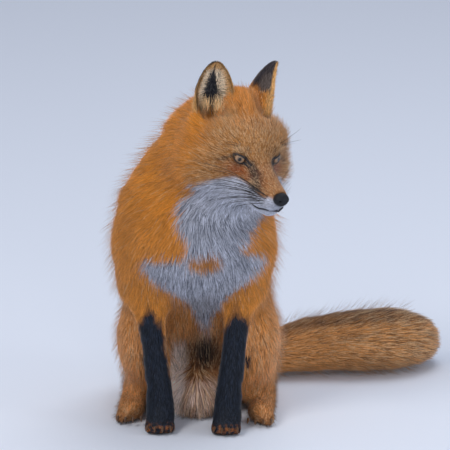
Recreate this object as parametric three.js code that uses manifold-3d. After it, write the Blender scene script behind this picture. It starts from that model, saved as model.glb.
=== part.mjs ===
// A red fox in its winter coat, sitting upright with its head turned to its left and its brush laid out
// behind its left haunch. Life size, in millimetres, +Z up, facing -Y, so that +X is the fox's left.
// The flesh is one rounded form, out to the tips of the coat, that is described by smooth distance
// functions. It is turned into a surface, set flat on the floor and parted with thin cuts at the head,
// neck, legs and tail. Ears, eyes, nose and claws are pieces of their own.

import * as THREE from "three";
import { ParametricGeometry } from "three/addons/geometries/ParametricGeometry.js";
import { SimplifyModifier } from "three/addons/modifiers/SimplifyModifier.js";
import { mergeVertices } from "three/addons/utils/BufferGeometryUtils.js";
import Module from "manifold-3d";

const wasm = await Module();
wasm.setup();

// ---- Driving dimensions ---------------------------------------------------------------------------

const GAP = 0.3; // clear space at every cut
const FAR = 900; // reaches past the fox from anywhere in it

const EYE_RADIUS = 10;
const EYE_SPREAD = 26; // from the middle of the face to each eye's centre
const EYE_FORWARD = 52; // from the middle of the head
const NOSE_FORWARD = 130;
const NOSE_DROP = 30;
const NOSE_RADII = [10.6, 8.4, 8.8];

const EAR_HEIGHT = 90; // of the opening, from its foot to the tip
const EAR_ROOT = 14; // depth of the root below the foot of the opening
const EAR_HALF_WIDTH = 27;
const EAR_WALL = 5.5;
const EAR_WRAP = { root: 2.45, tip: 1.15 }; // radians round its own axis, to each edge
const EAR_DEPTH = 0.75; // of the funnel, as a share of its width
const EAR_CLEARANCE = 1;
const EAR_SWIVEL = { right: 26, left: 80 }; // degrees that each opening faces outwards

const HEAD_CENTRE = [56.5, -6, 400];
const HEAD_YAW = 34.5; // degrees, turned to the fox's left
const HEAD_PITCH = 10; // degrees, nose down
const HEAD_ROLL = 7.5; // degrees, left side down

const PAW_X = 45; // forepaws, from the middle of the body
const HIND_PAW_X = 88;
const FOREPAW_Y = -10;
const HIND_PAW_Y = 34;
const TOE_PLACES = [-1.5, -0.5, 0.5, 1.5]; // from the middle of the paw, in toe spacings
const TOE_SPACING = 10;
const TOE_STAGGER = 5; // how far each toe lies behind, per spacing from the middle

const CLAW_LENGTH = 13;
const CLAW_RADIUS = 3.2; // at its root
const CLAW_BEND = 0.95; // radians, from root to tip

// How finely each surface is sampled, and the share of its vertices that is kept.
const FINENESS = {
  head: { step: 6.5, share: 0.2 },
  neck: { step: 12, share: 0.3 },
  trunk: { step: 12, share: 0.18 },
  foreleg: { step: 7, share: 0.2 },
  hindleg: { step: 9, share: 0.2 },
  tail: { step: 11, share: 0.3 },
};

// ---- Distance functions ---------------------------------------------------------------------------
// Each returns about how far a point lies outside a form, in millimetres, and is negative inside it.

// The nearer of two forms, filled in to a fillet of about the given width where they meet.
function blend(a, b, width) {
  const h = Math.max(width - Math.abs(a - b), 0) / width;
  return Math.min(a, b) - (h * h * width) / 4;
}

// The first form with the second scooped out of it, and the edge rounded.
function scoop(a, b, width) {
  return -blend(-a, b, width);
}

function ellipsoid([cx, cy, cz], [rx, ry, rz], lean = 0) {
  const cos = Math.cos(THREE.MathUtils.degToRad(lean));
  const sin = Math.sin(THREE.MathUtils.degToRad(lean));
  return (x, y, z) => {
    const px = x - cx;
    const py = (y - cy) * cos + (z - cz) * sin;
    const pz = (z - cz) * cos - (y - cy) * sin;
    const near = Math.hypot(px / rx, py / ry, pz / rz);
    const steep = Math.hypot(px / rx ** 2, py / ry ** 2, pz / rz ** 2);
    return steep > 0 ? (near * (near - 1)) / steep : -Math.min(rx, ry, rz);
  };
}

// A limb carried along a smooth path. Each station is [x, y, z, half width, half depth], where the width
// lies along X and the depth square to it.
function limb(stations, spans = 4) {
  const path = new THREE.CatmullRomCurve3(stations.map(([x, y, z]) => new THREE.Vector3(x, y, z)));
  const girth = new THREE.CatmullRomCurve3(stations.map(([, , , w, d]) => new THREE.Vector3(w, d, 0)));
  const count = (stations.length - 1) * spans;
  const at = [];
  for (let i = 0; i <= count; i++) {
    const centre = path.getPoint(i / count);
    const size = girth.getPoint(i / count);
    at.push([centre.x, centre.y, centre.z, size.x, size.y]);
  }
  return (x, y, z) => {
    let least = Infinity;
    for (let i = 0; i < count; i++) {
      const a = at[i];
      const b = at[i + 1];
      const [ex, ey, ez] = [b[0] - a[0], b[1] - a[1], b[2] - a[2]];
      const along = (x - a[0]) * ex + (y - a[1]) * ey + (z - a[2]) * ez;
      const t = Math.min(Math.max(along / (ex * ex + ey * ey + ez * ez), 0), 1);
      const dx = x - a[0] - t * ex;
      const dy = y - a[1] - t * ey;
      const dz = z - a[2] - t * ez;
      const away = Math.hypot(dx, dy, dz);
      const width = a[3] + t * (b[3] - a[3]);
      const depth = a[4] + t * (b[4] - a[4]);
      const near = Math.hypot(dx / width, Math.hypot(dy, dz) / depth);
      least = Math.min(least, near > 0 ? away * (1 - 1 / near) : -a[4]);
    }
    return least;
  };
}

// ---- Trunk, neck and tail -------------------------------------------------------------------------

const barrel = limb([
  [0, 12, 296, 84, 72],
  [0, 52, 258, 101, 84],
  [0, 98, 205, 104, 87],
  [0, 140, 145, 100, 84],
  [0, 166, 88, 92, 76],
  [0, 172, 55, 84, 70],
]);
const bib = ellipsoid([0, 0, 262], [84, 62, 80], 12);
const withers = ellipsoid([3, 70, 318], [76, 56, 64], -35);
const nape = limb([
  [0, 46, 316, 86, 80],
  [7, 40, 350, 81, 76],
  [16, 38, 384, 64, 64],
  [20, 38, 408, 46, 48],
]);
const throat = limb([
  [22, -18, 318, 66, 46],
  [46, -22, 352, 58, 42],
  [62, -22, 372, 46, 36],
]);
const brush = limb([
  [0, 218, 50, 28, 28],
  [34, 244, 36, 29, 29],
  [88, 266, 34, 33, 33],
  [140, 282, 41, 40, 41],
  [200, 292, 45, 46, 47],
  [250, 302, 46, 47, 48],
  [282, 320, 41, 41, 42],
  [298, 346, 31, 28, 29],
  [302, 366, 24, 14, 17],
]);

// ---- Legs, made for the left side and mirrored ----------------------------------------------------

const shoulder = limb([
  [56, 44, 306, 50, 56],
  [68, 34, 250, 49, 56],
  [70, 36, 202, 42, 45],
]);
const foreleg = limb([
  [64, 30, 205, 34, 38],
  [60, 14, 160, 25, 28],
  [54, 5, 110, 20, 21],
  [48, 2, 60, 19.5, 20.5],
  [PAW_X, -4, 28, 19.5, 20.5],
]);
const haunch = ellipsoid([66, 132, 92], [45, 84, 90], -28);
const knee = ellipsoid([74, 78, 110], [35, 46, 62], 18);
const groin = ellipsoid([0, 80, 30], [44, 54, 50]);
const shank = limb([
  [78, 196, 25, 23, 25],
  [80, 150, 21, 22, 23],
  [HIND_PAW_X, 96, 17, 20, 19],
  [HIND_PAW_X, 52, 15, 20, 17],
]);

// A paw is a low pad with four toes side by side, the middle two the longest.
function paw(x, y) {
  const pad = ellipsoid([x, y, 15], [20, 25, 18]);
  const toes = TOE_PLACES.map((place) =>
    ellipsoid([x + place * TOE_SPACING, y - 22 + TOE_STAGGER * Math.abs(place), 9], [7.4, 14, 11]),
  );
  return (px, py, pz) => toes.reduce((least, toe) => blend(least, toe(px, py, pz), 3), pad(px, py, pz));
}
const forepaw = paw(PAW_X, FOREPAW_Y);
const hindpaw = paw(HIND_PAW_X, HIND_PAW_Y);

// ---- Head, in its own frame: origin mid braincase, facing -Y, +Z out of the crown -------------------

// A frame at a place, turned by its tip forward, its lean to the side and its swivel, in degrees.
function pose([x, y, z], [tip = 0, lean = 0, swivel = 0] = [], order = "YXZ") {
  const group = new THREE.Group();
  group.position.set(x, y, z);
  group.rotation.set(...[tip, lean, swivel].map(THREE.MathUtils.degToRad), order);
  group.updateMatrix();
  return group;
}

// A form that is described in a frame, as seen from the space that the frame is placed in.
function inFrame(form, frame) {
  const back = frame.matrix.clone().invert();
  const point = new THREE.Vector3();
  return (x, y, z) => {
    point.set(x, y, z).applyMatrix4(back);
    return form(point.x, point.y, point.z);
  };
}

const headPose = pose(HEAD_CENTRE, [HEAD_PITCH, HEAD_ROLL, HEAD_YAW], "ZXY");
const earPose = {
  right: pose([-32, 15, 20], [-4, -8, -EAR_SWIVEL.right]),
  left: pose([32, 15, 20], [-4, 8, EAR_SWIVEL.left]),
};

const braincase = ellipsoid([0, 10, 6], [51, 58, 42]);
const crown = ellipsoid([0, 14, 36], [21, 44, 36], -8);
const brow = ellipsoid([0, -30, 10], [49, 36, 34], 18);
const browRidge = ellipsoid([23, -45, 14], [14, 14, 11], 20);
const temple = ellipsoid([35, -24, 16], [25, 27, 25]);
const cheek = ellipsoid([42, -6, -26], [38, 44, 34], 12);
const ruff = ellipsoid([46, 16, -44], [36, 38, 34], 25);
const muzzle = limb([
  [0, -40, -12, 31, 25],
  [0, -66, -19, 23, 21],
  [0, -96, -27, 17, 17],
  [0, -121, -31, 13.5, 13.5],
]);
const lips = limb([
  [9, -52, -38, 18, 12],
  [7, -86, -43, 13, 10],
  [4.5, -117, -44, 9.5, 8],
]);
const jaw = limb([
  [0, -30, -50, 31, 18],
  [0, -66, -54, 19, 12],
  [0, -94, -55.5, 13, 8.5],
  [0, -111, -54.5, 10, 7],
]);
const eyeHollow = ellipsoid([EYE_SPREAD + 5, -EYE_FORWARD - 12, -1], [13, 10, 9]);
const earRoot = ellipsoid([44, 16, 15], [24, 28, 31], 10);
const earFunnel = ellipsoid([0, -5, 36], [18, 22, 38]);
const earFunnels = [earPose.right, earPose.left].map((frame) => inFrame(earFunnel, frame));

function headForm(x, y, z) {
  const side = Math.abs(x);
  let d = braincase(x, y, z);
  d = blend(d, crown(x, y, z), 18);
  d = blend(d, brow(x, y, z), 14);
  d = blend(d, browRidge(side, y, z), 8);
  d = blend(d, temple(side, y, z), 10);
  d = blend(d, cheek(side, y, z), 20);
  d = blend(d, ruff(side, y, z), 20);
  d = blend(d, muzzle(x, y, z), 16);
  d = blend(d, earRoot(side, y, z), 12);
  d = blend(d, lips(side, y, z), 9);
  d = blend(d, jaw(x, y, z), 6);
  d = scoop(d, eyeHollow(side, y, z), 8);
  return earFunnels.reduce((whole, funnel) => scoop(whole, funnel(x, y, z), 6), d);
}
const headInPlace = inFrame(headForm, headPose);

// ---- The whole fox ----------------------------------------------------------------------------------

function foxForm(x, y, z) {
  const side = Math.abs(x);
  let d = barrel(x, y, z);
  d = blend(d, bib(x, y, z), 30);
  d = blend(d, withers(x, y, z), 60);
  d = blend(d, shoulder(side, y, z), 26);
  d = blend(d, foreleg(side, y, z), 18);
  d = blend(d, haunch(side, y, z), 14);
  d = blend(d, knee(side, y, z), 26);
  d = blend(d, groin(x, y, z), 16);
  d = blend(d, shank(side, y, z), 16);
  d = blend(d, hindpaw(side, y, z), 10);
  d = blend(d, forepaw(side, y, z), 9);
  d = blend(d, nape(x, y, z), 30);
  d = blend(d, throat(x, y, z), 30);
  d = blend(d, brush(x, y, z), 12);
  return blend(d, headInPlace(x, y, z), 16);
}

// ---- From a form to a surface -----------------------------------------------------------------------

// A point moved along the form's slope until it lies on the surface, or as far as it may go.
function settled(form, point, reach) {
  const value = form(...point);
  const slope = [0, 1, 2].map((axis) => form(...point.map((n, k) => n + (k === axis))) - value);
  const steep = slope[0] ** 2 + slope[1] ** 2 + slope[2] ** 2;
  const travel = THREE.MathUtils.clamp(value / steep, -reach, reach);
  return point.map((n, axis) => n - travel * slope[axis]);
}

// The surface where a form is 0, inside a box of samples that closes it off at its sides: each cell that
// the surface crosses gets one vertex, at the mean of its edges' crossings, and each crossed edge joins
// the four cells round it.
function surfaceOf(form, low, high, step) {
  const count = [0, 1, 2].map((k) => Math.ceil((high[k] - low[k]) / step) + 1);
  const [nx, ny, nz] = count;
  const index = (i, j, k) => (k * ny + j) * nx + i;
  const values = new Float64Array(nx * ny * nz);
  for (let k = 0; k < nz; k++)
    for (let j = 0; j < ny; j++)
      for (let i = 0; i < nx; i++)
        values[index(i, j, k)] = Math.max(
          form(low[0] + i * step, low[1] + j * step, low[2] + k * step),
          [i, nx - 1 - i, j, ny - 1 - j, k, nz - 1 - k].includes(0) ? step / 4 : -Infinity,
        );

  const corners = [0, 1, 2, 3, 4, 5, 6, 7].map((c) => [c & 1, (c >> 1) & 1, c >> 2]);
  const edges = corners.flatMap((a, i) =>
    corners.flatMap((b, j) => (j > i && a.filter((n, axis) => n !== b[axis]).length === 1 ? [[i, j]] : [])),
  );
  const vertexOf = new Map();
  const positions = [];
  for (let k = 0; k < nz - 1; k++)
    for (let j = 0; j < ny - 1; j++)
      for (let i = 0; i < nx - 1; i++) {
        const v = corners.map(([a, b, c]) => values[index(i + a, j + b, k + c)]);
        const sum = [0, 0, 0];
        let crossings = 0;
        for (const [a, b] of edges) {
          if (v[a] < 0 === v[b] < 0) continue;
          const t = v[a] / (v[a] - v[b]);
          for (let axis = 0; axis < 3; axis++)
            sum[axis] += corners[a][axis] + t * (corners[b][axis] - corners[a][axis]);
          crossings++;
        }
        if (!crossings) continue;
        vertexOf.set(index(i, j, k), positions.length / 3);
        const mean = [i, j, k].map((n, axis) => low[axis] + (n + sum[axis] / crossings) * step);
        const atSide = [i, nx - 2 - i, j, ny - 2 - j, k, nz - 2 - k].includes(0);
        positions.push(...(atSide ? mean : settled(form, mean, step / 3)));
      }

  const faces = [];
  for (let k = 0; k < nz - 1; k++)
    for (let j = 0; j < ny - 1; j++)
      for (let i = 0; i < nx - 1; i++)
        for (let axis = 0; axis < 3; axis++) {
          const near = values[index(i, j, k)];
          const next = values[index(i + (axis === 0), j + (axis === 1), k + (axis === 2))];
          if (near < 0 === next < 0) continue;
          const back = (da, db) => {
            const cell = [i, j, k];
            cell[(axis + 1) % 3] -= da;
            cell[(axis + 2) % 3] -= db;
            return vertexOf.get(index(...cell));
          };
          const round = [back(0, 0), back(1, 0), back(1, 1), back(0, 1)];
          if (near > 0) round.reverse();
          faces.push(round[0], round[1], round[2], round[0], round[2], round[3]);
        }
  const geometry = new THREE.BufferGeometry();
  geometry.setAttribute("position", new THREE.Float32BufferAttribute(positions, 3));
  geometry.setIndex(faces);
  return geometry;
}

// A solid of a form inside a box, with fewer vertices where it is nearly flat.
const simplifier = new SimplifyModifier();
async function sculpt(form, low, high, { step, share }) {
  const surface = surfaceOf(form, low, high, step);
  const spare = Math.round(surface.attributes.position.count * (1 - share));
  return solidOf(await simplifier.modify(surface, spare));
}

// ---- Joining and cutting ----------------------------------------------------------------------------

function solidOf(geometry) {
  const bare = geometry.clone();
  bare.deleteAttribute("normal");
  bare.deleteAttribute("uv");
  const merged = mergeVertices(bare, 1e-3);
  return new wasm.Manifold(
    new wasm.Mesh({
      numProp: 3,
      vertProperties: merged.attributes.position.array,
      triVerts: new Uint32Array(merged.index.array),
    }),
  );
}

// The mesh of a solid, without the slivers that cuts leave between vertices that nearly coincide.
function geometryOf(solid) {
  const { vertProperties, triVerts } = solid.getMesh();
  const cutMesh = new THREE.BufferGeometry();
  cutMesh.setAttribute("position", new THREE.Float32BufferAttribute(vertProperties, 3));
  cutMesh.setIndex(new THREE.Uint32BufferAttribute(triVerts, 1));
  const geometry = mergeVertices(cutMesh, 0.005);
  const faces = [];
  for (let i = 0; i < geometry.index.count; i += 3) {
    const face = Array.from(geometry.index.array.slice(i, i + 3));
    if (new Set(face).size === 3) faces.push(...face);
  }
  geometry.setIndex(faces);
  geometry.computeVertexNormals();
  return geometry;
}

// Everything on the side of a plane that its normal points to, from the given distance past it.
function halfSpace(point, normal, past) {
  const box = new THREE.BoxGeometry(2 * FAR, 2 * FAR, 2 * FAR).translate(0, 0, FAR + past);
  const turn = new THREE.Quaternion().setFromUnitVectors(
    new THREE.Vector3(0, 0, 1),
    new THREE.Vector3(...normal).normalize(),
  );
  return solidOf(box.applyQuaternion(turn).translate(...point));
}

// The two sides of a cut, each half a gap clear of its plane.
function cut(point, normal) {
  return {
    above: halfSpace(point, normal, GAP / 2),
    below: halfSpace(point, normal.map((n) => -n), GAP / 2),
  };
}

// A round cutter, as it is or grown by a gap.
function ball([x, y, z], [rx, ry, rz], grow = 0) {
  const sphere = new THREE.SphereGeometry(1, 24, 16);
  return solidOf(sphere.scale(rx + grow, ry + grow, rz + grow).translate(x, y, z));
}

const floor = halfSpace([0, 0, 0], [0, 0, 1], 0);
const napeCut = cut([34, 26, 372], [0.5, -0.42, 1]);
const chestCut = cut([0, 40, 322], [0.12, -0.34, 1]);
const ELBOW = { at: [0, 20, 160], down: [0, -0.12, -1] };
const tailCuts = [
  cut([40, 240, 50], [0.35, 1, 0]),
  cut([150, 284, 50], [1, 0.2, 0]),
  cut([258, 306, 50], [1, 0.3, 0]),
];
const HAUNCH = { at: [112, 124, 62], radii: [68, 132, 138] };

// The space that a foreleg takes up: a narrow one for the paw, beside the hind toes, under a wide one.
function forelegSpace(side, grow) {
  const block = (near, far, back, low, high) => {
    const [width, depth, height] = [far - near, back + 84, high - low].map((n) => n + 2 * grow);
    const centre = [(side * (near + far)) / 2, (back - 84) / 2, (low + high) / 2];
    return solidOf(new THREE.BoxGeometry(width, depth, height).translate(...centre));
  };
  return block(20, HIND_PAW_X - 22.5, 30, -40, 70)
    .add(block(28, 100, 36, 69, 230))
    .intersect(halfSpace(ELBOW.at, ELBOW.down, GAP / 2 - grow));
}

// A cut can leave crumbs: only the largest body is the part.
function largest(solid) {
  return solid.decompose().reduce((most, body) => (body.volume() > most.volume() ? body : most));
}

// ---- The parted flesh -------------------------------------------------------------------------------

const flesh = {};

flesh.neck = (await sculpt(foxForm, [-130, -110, 270], [150, 150, 470], FINENESS.neck))
  .intersect(napeCut.below)
  .intersect(chestCut.above);

flesh.trunk = (await sculpt(foxForm, [-140, -90, -28], [150, 290, 400], FINENESS.trunk))
  .intersect(floor)
  .intersect(chestCut.below)
  .intersect(tailCuts[0].below);

for (const [name, side] of [["right", -1], ["left", 1]]) {
  const span = (near, far) => (side > 0 ? [near, far] : [-far, -near]);
  const [foreNear, foreFar] = span(8, 130);
  const fore = await sculpt(foxForm, [foreNear, -84, -14], [foreFar, 90, 200], FINENESS.foreleg);
  flesh[`foreleg_${name}`] = fore.intersect(floor).intersect(forelegSpace(side, 0));

  const centre = [side * HAUNCH.at[0], HAUNCH.at[1], HAUNCH.at[2]];
  const [hindNear, hindFar] = span(30, 150);
  const hind = await sculpt(foxForm, [hindNear, -30, -22], [hindFar, 280, 224], FINENESS.hindleg);
  flesh[`hindleg_${name}`] = hind
    .intersect(floor)
    .intersect(tailCuts[0].below)
    .intersect(ball(centre, HAUNCH.radii))
    .subtract(forelegSpace(side, GAP));

  flesh.trunk = flesh.trunk.subtract(ball(centre, HAUNCH.radii, GAP)).subtract(forelegSpace(side, GAP));
}

const tail = (await sculpt(foxForm, [-20, 190, -25], [380, 420, 130], FINENESS.tail)).intersect(floor);
flesh.tail_root = tail.intersect(tailCuts[0].above).intersect(tailCuts[1].below);
flesh.tail_middle = tail.intersect(tailCuts[1].above).intersect(tailCuts[2].below);
flesh.tail_tip = tail.intersect(tailCuts[2].above);

// ---- Ears, eyes, nose and claws ---------------------------------------------------------------------
// Each is made at its own origin, and a grown copy of it makes the socket it sits in.

// An ear is a sheet rolled into a half funnel, open to -Y. Its wall runs round the back from one edge to
// the other and home again through the hollow, and thins to nothing at the root, the edges and the tip,
// where a grown copy reaches four times as far, to clear the thin wedge.
function earGeometry(grow) {
  const slices = 16;
  const stacks = 9;
  return new ParametricGeometry(
    (u, v, target) => {
      const reach = 4 * grow;
      const height = THREE.MathUtils.lerp(-EAR_ROOT - reach, EAR_HEIGHT + reach, v);
      const across = 2 * Math.abs(1 - u * 2) - 1;
      const above = Math.max((2 * height) / EAR_HEIGHT - 1, 0);
      const pointed = Math.sqrt(Math.max(1 - above ** 1.3, 0.002));
      const waisted = Math.min(1, 0.86 + 0.006 * height);
      const half = EAR_HALF_WIDTH * pointed * waisted;
      const angle = across * (THREE.MathUtils.lerp(EAR_WRAP.root, EAR_WRAP.tip, v) + reach / half);
      const thinned = Math.min(1, v * stacks, (1 - v) * stacks) * Math.sqrt(1 - across ** 4);
      const r = half + grow - (u < 0.5 ? 0 : (EAR_WALL + 2 * grow) * thinned);
      const curl = 8 * v * v;
      target.set(Math.sin(angle) * r, Math.cos(angle) * r * EAR_DEPTH - curl, height);
    },
    slices,
    stacks,
  );
}

// A claw is a horn that bends down as it tapers, out of a root inside the toe.
function clawGeometry(grow) {
  const length = CLAW_LENGTH + grow;
  return new ParametricGeometry(
    (u, v, target) => {
      const along = THREE.MathUtils.clamp((v - 0.25) / 0.5, 0, 1);
      const r = v === 0 || v === 1 ? 0 : (CLAW_RADIUS + grow) * (1 - 0.75 * along);
      const turn = 2 * Math.PI * u;
      const bend = CLAW_BEND * along;
      target.set(
        0.75 * r * Math.cos(turn),
        -length * Math.sin(bend) - r * Math.sin(turn) * Math.sin(bend),
        length * (Math.cos(bend) - 1) * 0.8 + r * Math.sin(turn) * Math.cos(bend),
      );
    },
    5,
    3,
  );
}

const eyeGeometry = (grow) => new THREE.SphereGeometry(EYE_RADIUS + grow, 12, 8);
const noseGeometry = (grow) => new THREE.SphereGeometry(1, 12, 8).scale(...NOSE_RADII.map((r) => r + grow));

// Where each piece of the head sits, in the head's frame.
const features = [
  { name: "ear_right", shape: earGeometry, at: earPose.right, gap: EAR_CLEARANCE },
  { name: "ear_left", shape: earGeometry, at: earPose.left, gap: EAR_CLEARANCE },
  { name: "eye_right", shape: eyeGeometry, at: pose([-EYE_SPREAD, -EYE_FORWARD, 0]) },
  { name: "eye_left", shape: eyeGeometry, at: pose([EYE_SPREAD, -EYE_FORWARD, 0]) },
  { name: "nose", shape: noseGeometry, at: pose([0, -NOSE_FORWARD, -NOSE_DROP]) },
];

// The socket for a piece: its shape grown by a gap, where its pose puts it.
function socket(shape, at, gap = GAP) {
  return solidOf(shape(gap).applyMatrix4(at.matrix));
}

const fromHead = new THREE.Group();
headPose.matrix.clone().invert().decompose(fromHead.position, fromHead.quaternion, fromHead.scale);
fromHead.updateMatrix();
let skull = (await sculpt(inFrame(foxForm, fromHead), [-110, -150, -106], [110, 130, 90], FINENESS.head))
  .intersect(napeCut.above.transform(fromHead.matrix.elements));
for (const { shape, at, gap } of features) skull = skull.subtract(socket(shape, at, gap));

// ---- The model --------------------------------------------------------------------------------------

const fur = new THREE.MeshStandardMaterial({ color: 0xc5752f, roughness: 0.9 });
const soot = new THREE.MeshStandardMaterial({ color: 0x2b2c33, roughness: 0.9 });
const amber = new THREE.MeshStandardMaterial({ color: 0x9a6a3a, roughness: 0.15 });
const leather = new THREE.MeshStandardMaterial({ color: 0x15161a, roughness: 0.5 });
const horn = new THREE.MeshStandardMaterial({ color: 0x4a3a2c, roughness: 0.5 });
const materialOf = { ear: soot, eye: amber, nose: leather, foreleg: soot, claw: horn };

function node(name, geometry) {
  const mesh = new THREE.Mesh(geometry, materialOf[name.split("_")[0]] ?? fur);
  mesh.name = name;
  return mesh;
}

const fox = new THREE.Group();

const head = new THREE.Group().copy(headPose);
head.add(node("head", geometryOf(largest(skull))));
for (const { name, shape, at } of features) head.add(at.add(node(name, shape(0))));
fox.add(head);

// The toes are numbered from the middle of the body outwards.
for (const [end, pawX, pawY] of [["foreleg", PAW_X, FOREPAW_Y], ["hindleg", HIND_PAW_X, HIND_PAW_Y]])
  for (const [name, side] of [["right", -1], ["left", 1]])
    TOE_PLACES.forEach((place, toe) => {
      const tip = [side * (pawX + place * TOE_SPACING), pawY - 31 + TOE_STAGGER * Math.abs(place), 11.5];
      const claw = pose(tip, [0, 0, side * place * 5]);
      flesh[`${end}_${name}`] = flesh[`${end}_${name}`].subtract(socket(clawGeometry, claw));
      fox.add(claw.add(node(`claw_${end}_${name}_${toe + 1}`, clawGeometry(0))));
    });

for (const [name, solid] of Object.entries(flesh)) fox.add(node(name, geometryOf(largest(solid))));

// The model's origin is the middle of its bounding box, on the floor.
const box = new THREE.Box3().setFromObject(fox, true);
fox.position.set(-(box.min.x + box.max.x) / 2, -(box.min.y + box.max.y) / 2, -box.min.z);

export default fox;
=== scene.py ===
# A red fox in its winter coat, sitting upright with its head turned to its left. One skin lies under the
# coat, which is made of fine tufts of hair that follow its lie. Everything is in metres, in the frame of
# the solids, except that sizes and places on the fox are given in millimetres and say so.

import math

import bpy
import numpy as np
from mathutils import Matrix, Vector
from mathutils.bvhtree import BVHTree
from mathutils.kdtree import KDTree


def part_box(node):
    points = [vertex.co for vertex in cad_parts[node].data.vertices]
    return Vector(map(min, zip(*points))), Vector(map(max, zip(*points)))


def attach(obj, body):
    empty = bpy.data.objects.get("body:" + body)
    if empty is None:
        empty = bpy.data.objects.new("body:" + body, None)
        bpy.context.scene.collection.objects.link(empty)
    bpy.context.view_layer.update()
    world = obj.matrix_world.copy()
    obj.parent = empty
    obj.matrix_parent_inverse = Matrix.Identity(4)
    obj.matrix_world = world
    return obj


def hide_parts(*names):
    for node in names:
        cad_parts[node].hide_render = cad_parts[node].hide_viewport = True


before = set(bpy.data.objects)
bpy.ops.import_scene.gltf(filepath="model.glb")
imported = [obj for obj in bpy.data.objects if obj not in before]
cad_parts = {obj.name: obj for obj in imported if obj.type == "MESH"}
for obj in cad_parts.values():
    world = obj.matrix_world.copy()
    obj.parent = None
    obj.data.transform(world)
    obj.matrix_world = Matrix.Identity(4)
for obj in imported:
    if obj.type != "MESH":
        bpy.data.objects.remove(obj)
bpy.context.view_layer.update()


# ---- Camera --------------------------------------------------------------
# A long lens, a little above the fox's eye level and a little to its left, aimed at its chest.

CAMERA_AZIMUTH = math.radians(3.5)
CAMERA_ELEVATION = math.radians(14.5)
CAMERA_DISTANCE = 8.0
VIEW_WIDTH = 0.6075  # across the frame, at the fox
SENSOR_WIDTH = 36.0  # mm
AIM = Vector((-0.0674, -0.0608, 0.2657))

towards_camera = Vector((
    math.sin(CAMERA_AZIMUTH) * math.cos(CAMERA_ELEVATION),
    -math.cos(CAMERA_AZIMUTH) * math.cos(CAMERA_ELEVATION),
    math.sin(CAMERA_ELEVATION),
))
camera = bpy.data.objects.new("camera", bpy.data.cameras.new("camera"))
camera.data.sensor_width = SENSOR_WIDTH
camera.data.lens = SENSOR_WIDTH * CAMERA_DISTANCE / VIEW_WIDTH
camera.data.clip_end = 60  # past the far edge of the floor
camera.location = AIM + CAMERA_DISTANCE * towards_camera
camera.rotation_euler = (-towards_camera).to_track_quat("-Z", "Y").to_euler()
bpy.context.scene.collection.objects.link(camera)
bpy.context.scene.camera = camera


# ---- Floor and light -----------------------------------------------------
# A plain pale floor under a cool, bright sky. A large soft lamp stands above and to the left of the camera,
# a second behind, and two small ones shine back from the eyes.

SKY = (0.385, 0.405, 0.462)
FLOOR_TINT = (0.78, 0.83, 0.93)
FLOOR_HALF = 30.0
LAMP_AIM = Vector((-0.08, -0.06, 0.25))
LAMPS = (  # name, place, width, watts and colour
    ("key", (-1.9, -2.6, 3.0), 1.6, 62, (1.0, 0.97, 0.93)),
    ("top", (0.6, 0.9, 3.2), 2.2, 32, (0.93, 0.96, 1.0)),
    ("side", (2.4, -1.1, 0.8), 1.0, 12, (0.96, 0.98, 1.0)),
    ("catch", (0.3, -2.4, 0.56), 0.5, 9, (0.96, 0.98, 1.0)),
)


def fed(node, inputs):
    """A shader node, with each of these inputs set to a value or joined to another node's output."""
    for name, value in dict(inputs).items():
        if isinstance(value, bpy.types.NodeSocket):
            node.id_data.links.new(value, node.inputs[name])
        else:
            node.inputs[name].default_value = value
    return node


def finish(name, inputs):
    """A new material, and its shader with these inputs set."""
    material = bpy.data.materials.new(name)
    material.use_nodes = True
    return material, fed(material.node_tree.nodes["Principled BSDF"], inputs)


world = bpy.data.worlds.new("studio")
world.use_nodes = True
fed(world.node_tree.nodes["Background"], {"Color": (*SKY, 1), "Strength": 1.0})
bpy.context.scene.world = world
bpy.context.scene.view_settings.view_transform = "Standard"

floor = bpy.data.objects.new("floor", bpy.data.meshes.new("floor"))
floor_corners = [(x * FLOOR_HALF, y * FLOOR_HALF, 0) for x, y in ((-1, -1), (1, -1), (1, 1), (-1, 1))]
floor.data.from_pydata(floor_corners, [], [(0, 1, 2, 3)])
floor.data.materials.append(finish("floor", {"Base Color": (*FLOOR_TINT, 1), "Roughness": 0.9})[0])
bpy.context.scene.collection.objects.link(floor)

for name, place, width, watts, colour in LAMPS:
    lamp = bpy.data.objects.new(name, bpy.data.lights.new(name, "AREA"))
    lamp.data.shape = "DISK"
    lamp.data.size = width
    lamp.data.energy = watts
    lamp.data.color = colour
    lamp.location = place
    lamp.rotation_euler = (LAMP_AIM - lamp.location).to_track_quat("-Z", "Y").to_euler()
    bpy.context.scene.collection.objects.link(lamp)


# ---- The two frames the fox is measured in -------------------------------
# Fox frame: origin on the floor, midway between the forelegs, 43 mm behind the toes, facing -Y, +X left.
# Head frame: origin mid braincase, found from the eyes and the nose, facing -Y, +Z out of the crown.

MM = 0.001
SIDES = {"right": -1, "left": 1}
TOES_FORWARD = 43.4  # mm, from the fox's origin
EYE_FORWARD = 52.0  # mm, from the head's origin
NOSE_FORWARD = 130.0
NOSE_DROP = 30.0


def unit(vectors):
    """Vectors over their lengths, along the last axis."""
    return vectors / np.maximum(np.linalg.norm(vectors, axis=-1, keepdims=True), 1e-12)


def middle(name):
    """The middle of a node: the mean of its box's two corners."""
    low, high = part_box(name)
    return np.array((low + high) / 2)


fox_origin = np.array([
    (middle("foreleg_right")[0] + middle("foreleg_left")[0]) / 2,
    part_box("foreleg_left")[0].y + TOES_FORWARD * MM,
    0,
])

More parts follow.
